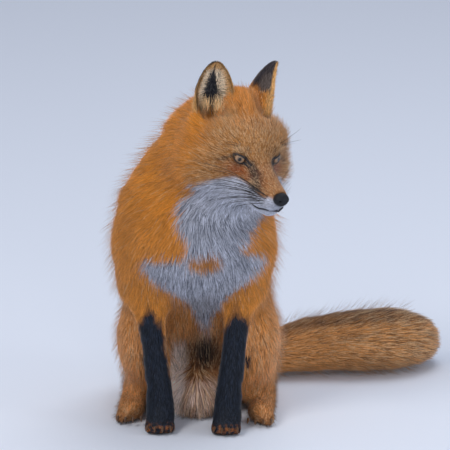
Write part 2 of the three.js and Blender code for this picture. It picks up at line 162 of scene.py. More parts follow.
eye_centre = {side: middle(f"eye_{side}") for side in SIDES}
between_eyes = (eye_centre["left"] + eye_centre["right"]) / 2
head_left = unit(eye_centre["left"] - eye_centre["right"])
down_muzzle = middle("nose") - between_eyes
down_muzzle = unit(down_muzzle - (down_muzzle @ head_left) * head_left)
dip = math.atan2(NOSE_DROP, NOSE_FORWARD - EYE_FORWARD)
square_up = np.cross(down_muzzle, head_left)
head_forward = math.cos(dip) * down_muzzle + math.sin(dip) * square_up
head_up = math.cos(dip) * square_up - math.sin(dip) * down_muzzle
HEAD_AXES = np.array([head_left, -head_forward, head_up])
head_origin = between_eyes - EYE_FORWARD * MM * head_forward


# ---- Skin: the body ------------------------------------------------------
# One skin covers the head, neck, trunk, legs and tail. The solids reach out to the tips of the coat, so
# they are joined, smoothed, and drawn in by the depth of the coat, which is deepest on the neck and tail.

# Each region's fringe outside the coat, length of hair and width of a tuft (all mm), lift (degrees), and how
# much its shin is narrowed (mm).
REGION_COLUMNS = ("fringe", "length", "width", "lift", "shin")
REGIONS = {
    "head": (1.5, 14, 0.65, 24, 0),
    "neck": (7, 30, 0.8, 22, 0),
    "trunk": (4.5, 28, 0.8, 20, 0),
    "foreleg_right": (1, 12, 0.65, 22, 3),
    "foreleg_left": (1, 12, 0.65, 22, 3),
    "hindleg_right": (2, 19, 0.75, 19, 0),
    "hindleg_left": (2, 19, 0.75, 19, 0),
    "tail_root": (3, 23, 0.75, 25, 0),
    "tail_middle": (4, 26, 0.8, 26, 0),
    "tail_tip": (5, 26, 0.8, 26, 0),
}
region_names = list(REGIONS)
FORELEGS = ("foreleg_right", "foreleg_left")
HINDLEGS = ("hindleg_right", "hindleg_left")
TAIL = ("tail_root", "tail_middle", "tail_tip")

RUFF_LONGER = 16  # mm, of hair under the cheeks
NAPE_LONGER = 9
FACE_SHORTER = 9
ARM_HAIR = 14
BEND_AT = 0.4  # of a tuft's length
DROOP = 3  # a tuft's lift beyond its bend is its lift before it over this
NAPE_DEEPER = 4.5  # mm of coat

CUT_CLOSING = 0.5  # mm that the solids grow by, so that the cuts between them close
OUTLINE_CELL = 3.2  # mm
SKIN_CELL = 2.75
BODY_IRONING = 40  # rounds of smoothing
HEAD_IRONING = 6
SKIN_IRONING = 3
DEPTH_SPREAD = 50
EDGE_SPREAD = 6
# Where the skin is built up again: the middle and the radii on the left of the head and how much, all in
# mm, and the way that it rises: left, forwards and up.
RISES = (
    ((29, -52, 12), (13, 8, 5), 2.4, (0.5, 1, 0.2)),  # the brow over each eye
    ((17, 8, 60), (14, 14, 11), 9.0, (0.3, 0, 1)),  # the crown in front of each ear
)


def on_fox(points):
    """Points of the scene, as millimetres in the fox frame."""
    return (points - fox_origin) / MM


def on_head(points):
    """Points of the scene, as millimetres in the head frame."""
    return (points - head_origin) @ HEAD_AXES.T / MM


def smooth(values, start, end):
    """0 before start, 1 after end, and a smooth rise between."""
    t = np.clip((values - start) / (end - start), 0, 1)
    return t * t * (3 - 2 * t)


def swell(values, peak, width):
    """1 at the peak, falling on both sides of it: e to minus the square of the distance over the width."""
    return np.exp(-(((values - peak) / width) ** 2))


def bump(points, centre, radii):
    """A soft lump of height 1 at the centre, falling with distance, by about e to the -1 at the radii."""
    return np.exp(-(((points - np.array(centre)) / np.array(radii)) ** 2).sum(-1))


def arrays_of(mesh):
    """A mesh's vertices, and the vertex at each corner of its faces."""
    points = np.empty(len(mesh.vertices) * 3, np.float32)
    mesh.vertices.foreach_get("co", points)
    corners = np.empty(len(mesh.loops), np.int32)
    mesh.loops.foreach_get("vertex_index", corners)
    return points.reshape(-1, 3), corners


def cad_triangles(name):
    """A node's triangles with the corners that coincide merged, as vertices and faces."""
    points, corners = arrays_of(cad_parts[name].data)
    merged, place = np.unique(points.round(6), axis=0, return_inverse=True)
    return merged.astype(float), place.reshape(-1)[corners].reshape(-1, 3)


def vertex_normals(points, faces):
    """Each vertex's normal: the sum of its faces' normals, each as long as its face is large."""
    a, b, c = (points[faces[:, k]] for k in range(3))
    flat = np.cross(b - a, c - a)
    total = np.stack([
        sum(np.bincount(faces[:, k], flat[:, axis], len(points)) for k in range(3)) for axis in range(3)
    ], 1)
    return unit(total)


def mesh_of(name, points, faces):
    """A mesh from arrays: its faces all have as many corners as the faces array has columns."""
    mesh = bpy.data.meshes.new(name)
    mesh.vertices.add(len(points))
    mesh.vertices.foreach_set("co", np.asarray(points, np.float32).ravel())
    mesh.loops.add(faces.size)
    mesh.loops.foreach_set("vertex_index", faces.astype(np.int32).ravel())
    mesh.polygons.add(len(faces))
    mesh.polygons.foreach_set("loop_start", np.arange(0, faces.size, faces.shape[1], dtype=np.int32))
    mesh.update(calc_edges=True)
    return mesh


def placed(name, mesh):
    """A mesh put into the scene as it lies, under a name."""
    piece = bpy.data.objects.new(name, mesh)
    bpy.context.scene.collection.objects.link(piece)
    return piece


def remeshed(points, faces, cell):
    """The outer surface of some closed shells, even where they overlap, in cells of one size."""
    piece = placed("remeshing", mesh_of("remeshing", points, faces))
    modifier = piece.modifiers.new("cells", "REMESH")
    modifier.mode = "VOXEL"
    modifier.voxel_size = cell
    graph = bpy.context.evaluated_depsgraph_get()
    points, corners = arrays_of(bpy.data.meshes.new_from_object(piece.evaluated_get(graph)))
    bpy.data.objects.remove(piece)
    quads = corners.reshape(-1, 4)
    return points.astype(float), np.concatenate([quads[:, [0, 1, 2]], quads[:, [0, 2, 3]]])


def edges_of(faces):
    """Each edge of some triangles once, as its two ends."""
    ends = np.concatenate([faces[:, [0, 1]], faces[:, [1, 2]], faces[:, [2, 0]]])
    return np.unique(np.sort(ends, 1), axis=0)


def spread(values, edges, rounds, share=0.5):
    """Values at the vertices, each moved a share of the way to its neighbours' mean, so many times over."""
    flat = values.reshape(len(values), -1)
    count = np.bincount(edges.ravel(), minlength=len(flat))[:, None]
    for _ in range(rounds):
        total = np.stack([
            np.bincount(edges[:, 0], column[edges[:, 1]], len(flat))
            + np.bincount(edges[:, 1], column[edges[:, 0]], len(flat))
            for column in flat.T
        ], 1)
        flat = flat + share * (total / count - flat)
    return flat.reshape(values.shape)


def ironed(points, edges, rounds):
    """A surface smoothed without shrinking: each round draws it in and lets it out again."""
    for _ in range(rounds):
        points = spread(points, edges, 1, 0.6)
        points = spread(points, edges, 1, -0.62)
    return points


flesh_names = (*REGIONS, "eye_right", "eye_left", "nose")
flesh = [cad_triangles(name) for name in flesh_names]
first_vertex = np.cumsum([0, *(len(points) for points, _ in flesh)])
flesh_points = np.concatenate([
    points + CUT_CLOSING * MM * vertex_normals(points, faces) for points, faces in flesh
])
flesh_faces = np.concatenate([faces + first for (_, faces), first in zip(flesh, first_vertex)])
flesh_region = np.concatenate([
    np.full(len(faces), region_names.index(name if name in REGIONS else "head"))
    for name, (_, faces) in zip(flesh_names, flesh)
])
flesh_tree = BVHTree.FromPolygons(flesh_points.tolist(), flesh_faces.tolist())


def region_of(points):
    """The region whose solid lies nearest to each point."""
    return np.array([flesh_region[flesh_tree.find_nearest(place)[2]] for place in points.tolist()])


def region_table(column, region):
    """What a column of the regions' table says for each point."""
    column = REGION_COLUMNS.index(column)
    return np.array([row[column] for row in REGIONS.values()], float)[region]


def among(region, *names):
    """Whether each point lies in one of the named regions."""
    return np.isin(region, [region_names.index(name) for name in names])


def face_short(head):
    """How short-haired the face is, in the head frame: 1 on the muzzle, falling to 0 behind the brow."""
    return smooth(-head[:, 1], 20, 74)


def arm_share(fox, region):
    """How far down an upper arm each point of the trunk lies: 0 above it and behind, 1 at the elbow."""
    x, y, z = fox.T
    share = smooth(225 - z, 0, 70) * smooth(np.abs(x), 16, 34) * smooth(48 - y, 0, 16)
    return share * among(region, "trunk")


def hair_length(points, region):
    """mm: the region's, shorter on the face, arms and feet, longer in the ruff under the cheeks."""
    fox = on_fox(points)
    head = on_head(points)
    on_face = among(region, "head")
    ruff = on_face * smooth(-head[:, 2], 10, 50) * smooth(head[:, 1], -50, 0)
    nape = on_face * smooth(head[:, 1], 0, 50)
    length = region_table("length", region) + RUFF_LONGER * ruff + NAPE_LONGER * nape
    length = length - FACE_SHORTER * on_face * face_short(head)
    length = length + arm_share(fox, region) * (ARM_HAIR - length)
    feet = among(region, *FORELEGS, *HINDLEGS) * smooth(-fox[:, 2], -55, -20)
    return length * (1 - 0.5 * feet)


def coat_depth(points, region):
    """How far the skin lies in, mm: the height that hair of its length and lift stands to, bent as it is,
    and the fringe outside it, which is deepest on the nape and the left flank and least on the face."""
    x, _, z = on_fox(points).T
    on_face = among(region, "head")
    lift = np.radians(region_table("lift", region))
    stands = BEND_AT * np.sin(lift) + (1 - BEND_AT) * np.sin(lift / DROOP)
    fringe = region_table("fringe", region) * (1 - on_face * face_short(on_head(points)))
    nape = (1 - on_face) * swell(z, 335, 42)
    flank = (1 - on_face) * smooth(x, 30, 80) * (4 * smooth(z, 170, 230) + 7 * swell(z, 172, 42))
    shin = region_table("shin", region) * swell(z, 118, 45)
    return hair_length(points, region) * stands + fringe + NAPE_DEEPER * nape + flank * (1 - nape) + shin


outline, outline_faces = remeshed(flesh_points, flesh_faces, OUTLINE_CELL * MM)
outline_edges = edges_of(outline_faces)
outline_region = region_of(outline)
body_share = spread(1.0 - among(outline_region, "head"), outline_edges, EDGE_SPREAD)[:, None]
ironed_body = ironed(outline, outline_edges, BODY_IRONING)
ironed_head = ironed(outline, outline_edges, HEAD_IRONING)
outline = ironed_head + body_share * (ironed_body - ironed_head)
depth = spread(coat_depth(outline, outline_region), outline_edges, DEPTH_SPREAD) * MM
outward = unit(spread(vertex_normals(outline, outline_faces), outline_edges, EDGE_SPREAD))
outline = outline - depth[:, None] * outward
skin, skin_faces = remeshed(outline, outline_faces, SKIN_CELL * MM)
skin = ironed(skin, edges_of(skin_faces), SKIN_IRONING)
for turned in SIDES.values():
    for centre, radii, rise, (left, ahead, up) in RISES:
        risen = bump(on_head(skin), np.multiply(centre, (turned, 1, 1)), radii) * rise * MM
        way = unit(ahead * head_forward + left * turned * head_left + up * head_up)
        skin = skin + risen[:, None] * way
skin_region = region_of(skin)


# ---- Skin: the ears ------------------------------------------------------
# An ear is a thin sheet of gristle rolled into a half funnel. The near one is swivelled forwards and the
# far one outwards. Both are closed shells that sink into the head, and part of the skin.

EAR_HEIGHT = 90.0  # mm, from the foot of the opening to the tip
EAR_ROOT = 14.0
EAR_HALF_WIDTH = 27.0
EAR_INSET = {"outer": 1.2, "inner": 4.6}  # mm in from the coat's outline
EAR_FOOT = (32.0, 15.0, 20.0)  # mm, in the head frame, on the left
EAR_TIP_BACK = -4  # degrees
EAR_LEAN = 8
EAR_SWIVEL = {"right": -26, "left": 80}
EAR_WRAP = 2.45  # radians round the ring's axis to an edge, at the root
EAR_UNWRAP = 1.3  # radians less at the tip
EAR_COLUMNS = 48  # of the grid, on each wall
EAR_ROWS = 52


def from_head(points):
    """Millimetres in the head frame, as points of the scene."""
    return head_origin + np.asarray(points, float) * MM @ HEAD_AXES


def ear_on_head(points, side):
    """Millimetres in an ear's own frame, which opens to -Y, as millimetres in the head frame."""
    lean, tip, swivel = (
        np.array(Matrix.Rotation(math.radians(turn), 3, axis))
        for turn, axis in ((SIDES[side] * EAR_LEAN, "Y"), (EAR_TIP_BACK, "X"), (EAR_SWIVEL[side], "Z"))
    )
    foot = np.array(EAR_FOOT) * (SIDES[side], 1, 1)
    return foot + points @ (lean @ tip @ swivel).T


def ear_turn(across, up):
    """The angle round the ring's axis, in proportion to the way across, and less towards the tip."""
    return across * (EAR_WRAP - EAR_UNWRAP * up)


def ear_sheet(across, up, inset, side):
    """Points of the rolled sheet: across runs from edge to edge, -1 to 1, and up from root to tip, 0 to 1.
    The sheet is part of a ring, flattened front to back, whose width follows the ear's outline and whose
    wrap opens from the root to the tip. Inset draws it in towards the ring's axis."""
    height = -EAR_ROOT + (EAR_HEIGHT + EAR_ROOT) * up
    above = np.maximum(2 * height / EAR_HEIGHT - 1, 0)
    half = EAR_HALF_WIDTH * np.sqrt(np.maximum(1 - above**1.3, 0.002)) * np.minimum(1, 0.86 + 0.006 * height)
    angle = ear_turn(across, up)
    r = np.maximum(half - inset, 0.4)
    rolled = np.stack([np.sin(angle) * r, 0.75 * np.cos(angle) * r - 8 * up**2, height], -1)
    return from_head(ear_on_head(rolled, side))


def ear_inset(across, up, wall):
    """How far a wall lies in from the coat's outline: the walls meet at the edges, the root and the tip."""
    ends = np.minimum(1, np.minimum(up, 1 - up) * 14) * np.sqrt(np.maximum(1 - across**4, 0))
    return EAR_INSET["outer"] + (EAR_INSET[wall] - EAR_INSET["outer"]) * ends


def grid_faces(rows, columns, ring=False):
    """Triangles over a grid of points whose rows are loops, and whose columns are too if it is a ring."""
    row, column = np.mgrid[0 : rows if ring else rows - 1, 0:columns]
    beside = (column + 1) % columns
    below = (row + 1) % rows * columns
    corners = [row * columns + column, row * columns + beside, below + beside, below + column]
    a, b, c, d = (corner.ravel() for corner in corners)
    return np.concatenate([np.stack([a, b, c], 1), np.stack([a, c, d], 1)])


def turned_out(points, faces):
    """The faces of closed surfaces, turned so that they hold a volume above zero."""
    a, b, c = (points[faces[:, k]] for k in range(3))
    return faces if (np.cross(a, b) * c).sum() > 0 else faces[:, ::-1]


def ear_shell(side):
    """The closed shell of an ear, out to one edge on the back and home through the hollow: its vertices,
    faces, and each vertex's place: across and up the sheet, and 0 on the outer wall or 1 on the inner."""
    turn, up = np.meshgrid(np.arange(2 * EAR_COLUMNS) / EAR_COLUMNS, np.linspace(0, 1, EAR_ROWS + 1))
    across = 2 * np.abs(1 - turn) - 1
    inset = np.where(turn < 1, ear_inset(across, up, "outer"), ear_inset(across, up, "inner"))
    points = ear_sheet(across, up, inset, side).reshape(-1, 3)
    places = np.stack([across, up, turn >= 1], -1).reshape(-1, 3)
    faces = grid_faces(EAR_ROWS + 1, 2 * EAR_COLUMNS)
    merged, first, place = np.unique(points.round(7), axis=0, return_index=True, return_inverse=True)
    faces = place.reshape(-1)[faces]
    solid = (faces[:, 0] != faces[:, 1]) & (faces[:, 1] != faces[:, 2]) & (faces[:, 2] != faces[:, 0])
    return merged, turned_out(merged, faces[solid]), places[first]


body_count = len(skin)
ear_place = []  # across, up, wall and side of each of the ears' vertices
for side in SIDES:
    points, faces, place = ear_shell(side)
    skin_faces = np.concatenate([skin_faces, faces + len(skin)])
    skin = np.concatenate([skin, points])
    ear_place.append(np.column_stack([place, np.full(len(place), SIDES[side])]))
ear_place = np.concatenate(ear_place)
skin_region = np.concatenate([skin_region, np.full(len(skin) - body_count, region_names.index("head"))])
skin_edges = edges_of(skin_faces)


# ---- Skin: the eye openings ----------------------------------------------
# Each eye looks a little outwards. The skin wraps over the ball and is open in a slanted almond, whose
# inner corner is the lower one.

EYE_RADIUS = 10.0  # mm
GAZE_OUT = math.radians(28)
GAZE_DOWN = math.radians(3)
SLANT = math.radians(15)
OUTER_CORNER = -9.4  # mm from the middle of the ball, along the slant
INNER_CORNER = 9.6
UPPER_LID = 4.2  # mm, the most that the opening rises above the line of its corners
LOWER_LID = 4.7
LID_HEIGHT = 0.7  # mm that the skin stands over the ball
OPENED_UNDER = 2.5  # mm that the skin in the opening is pushed under the ball's surface
SOCKET_REACH = 15  # mm from the middle of the ball


def tangent(vectors, normals):
    """Vectors with their part along the normals taken away, and made of length 1."""
    return unit(vectors - (vectors * normals).sum(-1, keepdims=True) * normals)


def eye_axes(side):
    """Rows: towards the inner corner, up across the slant, and out along the gaze, in the scene."""
    out = SIDES[side] * head_left
    gaze = math.cos(GAZE_OUT) * head_forward + math.sin(GAZE_OUT) * out
    gaze = math.cos(GAZE_DOWN) * gaze - math.sin(GAZE_DOWN) * head_up
    inner = tangent(-out, gaze)
    up = tangent(head_up - (head_up @ inner) * inner, gaze)
    return np.array([
        math.cos(SLANT) * inner - math.sin(SLANT) * up,
        math.cos(SLANT) * up + math.sin(SLANT) * inner,
        gaze,
    ])


def from_eye(offset, side):
    """Millimetres along an eye's axes from the middle of its ball, as points of the scene."""
    return np.asarray(offset) @ eye_axes(side) * MM + eye_centre[side]


def lid_lines(along):
    """The upper and lower lids' heights: half waves between the corners, the upper one fuller outside."""
    t = np.clip((along - OUTER_CORNER) / (INNER_CORNER - OUTER_CORNER), 0, 1)
    wave = np.sin(math.pi * t)
    return UPPER_LID * wave**0.62 * (1.1 - 0.25 * t), -LOWER_LID * wave**0.85 * (0.85 + 0.25 * t)


def in_eye(points, side, margin):
    """Where points lie in front of an eye's opening or within a margin of it, and their offsets in mm."""
    offset = (points - eye_centre[side]) @ eye_axes(side).T / MM
    upper, lower = lid_lines(offset[:, 0])
    inside = (offset[:, 1] < upper + margin) & (offset[:, 1] > lower - margin) & (offset[:, 2] > 0)
    return inside & (offset[:, 0] > OUTER_CORNER - margin) & (offset[:, 0] < INNER_CORNER + margin), offset


opened = skin
for side in SIDES:
    inside, offset = in_eye(skin, side, 1.0)
    reach = np.linalg.norm(offset, axis=1)
    close = (reach < SOCKET_REACH) & (offset[:, 2] > -2)
    over = (close & (reach < EYE_RADIUS + LID_HEIGHT))[:, None]
    skin = np.where(over, from_eye((EYE_RADIUS + LID_HEIGHT) * unit(offset), side), skin)
    opened = np.where(over, skin, opened)
    under = from_eye((EYE_RADIUS - OPENED_UNDER) * unit(offset), side)
    opened = np.where((close & inside)[:, None], under, opened)
skin_tree = BVHTree.FromPolygons(skin.tolist(), skin_faces.tolist())  # before the eyes are opened
skin = opened
skin_normals = vertex_normals(skin, skin_faces)


# ---- Skin: the markings --------------------------------------------------
# Orange back and sides, a grizzled tan face and haunches, white cheeks, throat and chest, black stockings
# and ear backs, and a dark-tipped brush with a white end, with painted shade under the chin, beside the
# left arm, in the groin and at the floor. Skin and hairs are coloured by the same rules.

HAIR_GAIN = 1.75  # hairs shade each other, so each is brighter than the coat looks


def pigment(red, green, blue):
    """A colour as the coat should look, 0 to 255, as the linear colour of a single hair."""
    return HAIR_GAIN * (np.array([red, green, blue]) / 255) ** 2.2


ORANGE = pigment(181, 115, 47)
MANE = pigment(196, 123, 42)
TAN = pigment(143, 100, 58)
CROWN = pigment(168, 110, 58)
TEMPLE = pigment(192, 152, 106)
MUZZLE = pigment(134, 90, 54)
HAUNCH = 0.95 * pigment(200, 134, 80)
CREAM = pigment(190, 160, 124)
RUST = pigment(128, 66, 38)
BREAST_SPOT = pigment(138, 92, 52)
TOES = pigment(156, 94, 50)
BRUSH = pigment(182, 126, 74)
WHITE = pigment(180, 183, 196)
SLATE = pigment(64, 68, 78)
BEIGE = pigment(224, 204, 194)
BROWN = pigment(60, 42, 34)
UMBER = pigment(34, 25, 22)
BLACK = pigment(22, 28, 38)
EAR_GREY = pigment(222, 204, 178)
EAR_RIM = pigment(184, 136, 80)
EAR_LOW = pigment(222, 186, 138)
EAR_WORN = pigment(88, 78, 72)

NOSE_PLACE = (0, -NOSE_FORWARD, -NOSE_DROP)
NOSE_HALF = np.array([10.6, 8.4, 8.8])  # mm, half the size of the pad
EYE_HALF = on_head(eye_centre["left"])
CORNER_PAST = (INNER_CORNER + 3, -1.6, 4)  # mm, the middle of the dark corner, along the axes of the eye
CORNER_HALF = on_head(from_eye(CORNER_PAST, "left"))
WHISKER_FORWARD = 116  # mm in the head frame: the first whisker's root, the next one's, and the next row's
WHISKER_HEIGHT = -30
WHISKER_STEP = 7
WHISKER_ROW = 4.2
WHISKER_FALL = 0.06  # of the rows, for each mm forwards

# The dark lines of the face, in the head frame, mm: start, end, radius and strength.
FACE_LINES = (
    ((17, -69, -5), (17, -82, -13), 6.5, 1.3),  # down from the inner corner
    ((17, -84, -14), (17, -93, -26), 8, 0.95),
    ((17, -92, -26), (21, -80, -34), 7, 0.8),
    ((20, -62, 12), (22, -61, 15), 2.8, 0.6),  # the brow
    ((38, -48, 0), (53, -40, -8), 2.8, 0.95),  # back from the outer corner
)
# The white of the chest, from its point between the forelegs up to the throat: the height of each level
# and its edges on the fox's right and left, in the fox frame.
CHEST_LEVEL = (96, 123, 150, 182, 197, 214, 228, 241, 248, 255, 262, 280, 299, 314, 327, 340, 352, 362)
CHEST_RIGHT = (12, 5, -3, -13, -32, -57, -66, -63, -14, -8, -4, -12, -19, -19, -15, -9, -2, 14)
CHEST_LEFT = (14, 18, 30, 44, 58, 80, 92, 92, 74, 62, 68, 84, 92, 96, 96, 96, 96, 96)
# The white of the cheeks: how far forward each place is, and its upper edge there, in the head frame.
CHEEK_FORWARD = (-12, 8, 14, 20, 26, 32, 39, 51, 65, 81, 95, 110, 124)
CHEEK_TOP = (-110, -76, -62, -54, -49, -44, -38, -28, -27, -31, -35, -36, -30)
# How high the black of each foreleg reaches, at each place out from the middle, in the fox frame.
STOCKING_RIGHT = ((28, 31, 39, 44.5, 58, 61, 71), (50, 65, 103, 146, 166, 166, 148))
STOCKING_LEFT = ((16, 21, 27, 34, 43, 58, 61, 71), (50, 70, 101, 116, 141, 166, 166, 148))
# The middle of the tail from its root to its tip, in the fox frame.
TAIL_LINE = np.array([
    (0, 218, 50), (34, 244, 36), (88, 266, 34), (140, 282, 41), (200, 292, 45),
    (250, 302, 46), (282, 320, 41), (298, 346, 31), (302, 366, 24),
], float)
TAIL_REACH = 30  # mm over which a part of the line counts


def folded(head):
    """Points in the head frame, with the right half's mirrored onto the left."""
    return np.abs(head) * (1, 0, 0) + head * (0, 1, 1)


def along_tail(fox):
    """The tail's direction near each point, and how far along the tail it lies, 0 to 1: means over the
    line's parts, weighted by e to minus half the square of their distance over the reach."""
    parts = np.diff(TAIL_LINE, axis=0)
    lengths = np.linalg.norm(parts, axis=1)
    centres = TAIL_LINE[:-1] + parts / 2
    reach = (np.cumsum(lengths) - lengths / 2) / lengths.sum()
    weight = np.exp(-((fox[:, None] - centres) ** 2).sum(-1) / (2 * TAIL_REACH**2)) + 1e-9
    weight = weight / weight.sum(1, keepdims=True)
    return unit(weight @ (parts / lengths[:, None])), weight @ reach


def mottle(points, size):
    """A soft irregular pattern, -1 to 1: products and a sum of waves that run in unrelated directions."""
    p = points / size
    return (
        np.sin(p @ (1.7, 2.9, 0.8) + 1.3) * np.sin(p @ (-2.3, 0.9, 2.1) + 0.4)
        + 0.6 * np.sin(p @ (3.1, -1.9, 3.7) + 2.2) * np.sin(p @ (0.7, 4.3, -2.6))
    ) / 1.6


def streak(points, start, end, radius):
    """1 on the line between two points, falling to 0 around it as a swell of the distance does."""
    start, end = np.array(start, float), np.array(end, float)
    line = end - start
    t = np.clip((points - start) @ line / (line @ line), 0, 1)
    return swell(np.linalg.norm(points - start - t[:, None] * line, axis=1), 0, radius)


def stained(colour, *stains):
    """Colours with stains laid over them in order: each draws them towards a tint by a share of the way."""
    for tint, share in stains:
        colour = colour + np.asarray(share)[:, None] * (tint - colour)
    return colour


def whisker_spots(half):
    """1 in round spots at the whiskers' roots: the sum of two waves, along the rows and across them."""
    _, y, z = half.T
    row = (WHISKER_HEIGHT - z + WHISKER_FALL * (y + 100)) / WHISKER_ROW
    column = (WHISKER_FORWARD - 2 * row + y) / WHISKER_STEP
    spot = smooth(np.cos(2 * math.pi * row) + np.cos(2 * math.pi * column), 0.5, 1.5)
    in_rows = smooth(row, -0.7, -0.4) * smooth(3.6 - row, 0, 0.3)
    return spot * in_rows * smooth(column, -0.5, 0) * smooth(4.6 - column, 0, 0.4)


def stockings(fox, region, ragged):
    """How black the forelegs are: all round below, and higher up in front as far as a ragged edge."""
    x, y, z = fox.T
    side = np.abs(x)
    forelegs = among(region, *FORELEGS)
    top = np.where(x < 0, np.interp(side, *STOCKING_RIGHT), np.interp(side, *STOCKING_LEFT))
    arm = (among(region, "trunk") * smooth(z, 118, 130) + forelegs) * smooth(20 - y, 0, 10)
    arm = np.maximum(arm, forelegs * smooth(106 - z, 0, 14))
    return arm * smooth(side, 16, 22) * smooth(78 - side, 0, 8) * smooth(top - z + 8 * ragged, -15, 11)


def face_masks(half, on_face):
    """How tan, how much of the muzzle, how rusty and how flecked each point of the face is."""
    _, y, z = half.T
    tan = smooth(-y, -20, 40) * smooth(64 - z, 0, 30)
    under_eye = bump(half, (33, -60, -15), (17, 17, 10))
    beside_muzzle = bump(half, (18, -80, -20), (10, 20, 11))
    rusty = np.maximum(under_eye, 0.7 * beside_muzzle)
    flecked = bump(half, (19, -86, -26), (12, 17, 11))
    return [on_face * mask for mask in (tan, smooth(-y, 60, 82), rusty, flecked)]


def face_stains(half, on_face, tan, muzzle, rusty, flecked):
    """The stains of the face: its masks' own, soft lumps of tan and cream, dark lines, and round the eyes."""
    corner = np.minimum(1.6 * bump(half, CORNER_HALF, (3.6, 3.6, 3.6)), 1)
    return [
        (TAN, 0.8 * tan),
        (CROWN, 0.85 * on_face * bump(half, (0, -2, 58), (46, 34, 24))),
        (TEMPLE, 0.85 * on_face * bump(half, (33, -6, 40), (15, 14, 14))),
        (MUZZLE, 0.8 * muzzle),
        (RUST, rusty**0.8),
        (CREAM, 0.5 * on_face * bump(half, (33, -57, 13), (7, 7, 4))),
        *((BROWN, on_face * np.minimum(dark * streak(half, *line), 1)) for *line, dark in FACE_LINES),
        (UMBER, 0.5 * on_face * swell(np.linalg.norm(half - EYE_HALF, axis=1), 10, 3)),
        (BLACK, on_face * corner),
        (BROWN, 0.35 * flecked),
    ]


def white_masks(fox, half, region, ragged):
    """How white the cheeks and the chest are, by how far inside their ragged edges each point lies, and
    where the chest's tan spot is. The chest's end softly behind its front."""
    x, y, z = fox.T
    _, hy, hz = half.T
    cheek = smooth(np.interp(-hy, CHEEK_FORWARD, CHEEK_TOP) - hz + 2 * ragged, -3, 3) * among(region, "head")
    edge = np.minimum(x - np.interp(z, CHEST_LEVEL, CHEST_RIGHT), np.interp(z, CHEST_LEVEL, CHEST_LEFT) - x)
    front = smooth(45 + 0.5 * np.maximum(180 - z, 0) - y, 0, 16) * smooth(z, 96, 112)
    spot = smooth(bump(fox[:, [0, 2]], (18, 243), (20, 9)), 0.15, 0.45) * front
    chest = smooth(edge + 4 * ragged, -4, 4) * front * ~among(region, "head", *FORELEGS)
    return cheek, chest * (1 - spot), spot


def belly_stains_and_shadows(fox, on_trunk, ragged):
    """The low belly between the forelegs: brown, with a pale line down its right and pale streaks on its
    left, and a painted shadow, darkest in the groin under the chest and at the floor."""
    x, y, z = fox.T
    belly = on_trunk * smooth(50 - np.abs(x), 0, 10) * smooth(130 - y, 0, 30)
    lower = smooth(108 - z, 0, 24)
    streaky = smooth(mottle(fox * (1, 1, 0.2), 7), -0.5, 0.5)
    return [
        (BROWN, 0.58 * belly * lower),
        (BEIGE, belly * lower * smooth(10 - np.abs(x + 27 + 3 * ragged), -5, 4)),
        (BEIGE, belly * smooth(56 - z, 0, 14) * smooth(x, -20, -8) * (0.15 + 0.45 * streaky)),
        # painted shadow in the groin, under the chest
        (UMBER, on_trunk * np.minimum(1.4 * bump(fox, (10, 72, 84), (20, 44, 29)), 1)),
        # painted shadow where the belly meets the floor
        (UMBER, 0.85 * belly * smooth(13 - z, 0, 12)),
    ]


def foot_stains(fox, forelegs, hindlegs):
    """Brown over the hind feet, and tan in soft patches on the toes of all four."""
    _, y, z = fox.T
    toes = (forelegs + hindlegs) * smooth(18 - z, 0, 8) * smooth(-y, 20, 30)
    return [
        (BROWN, 0.55 * hindlegs * smooth(30 - z, 0, 22) * smooth(110 - y, 0, 50)),
        (TOES, 0.8 * toes * smooth(mottle(fox, 5), -0.1, 0.5)),
    ]


def tail_dark(fox, normals, reach):
    """How dark the brush is: along its top, by how far the skin faces up, and in blotches to its end."""
    blotch = smooth(mottle(fox, 16), -0.2, 0.6) * smooth(reach, 0.3, 0.65)
    return np.clip(0.5 * blotch + 0.6 * smooth(normals[:, 2], 0.6, 0.95), 0, 0.9)


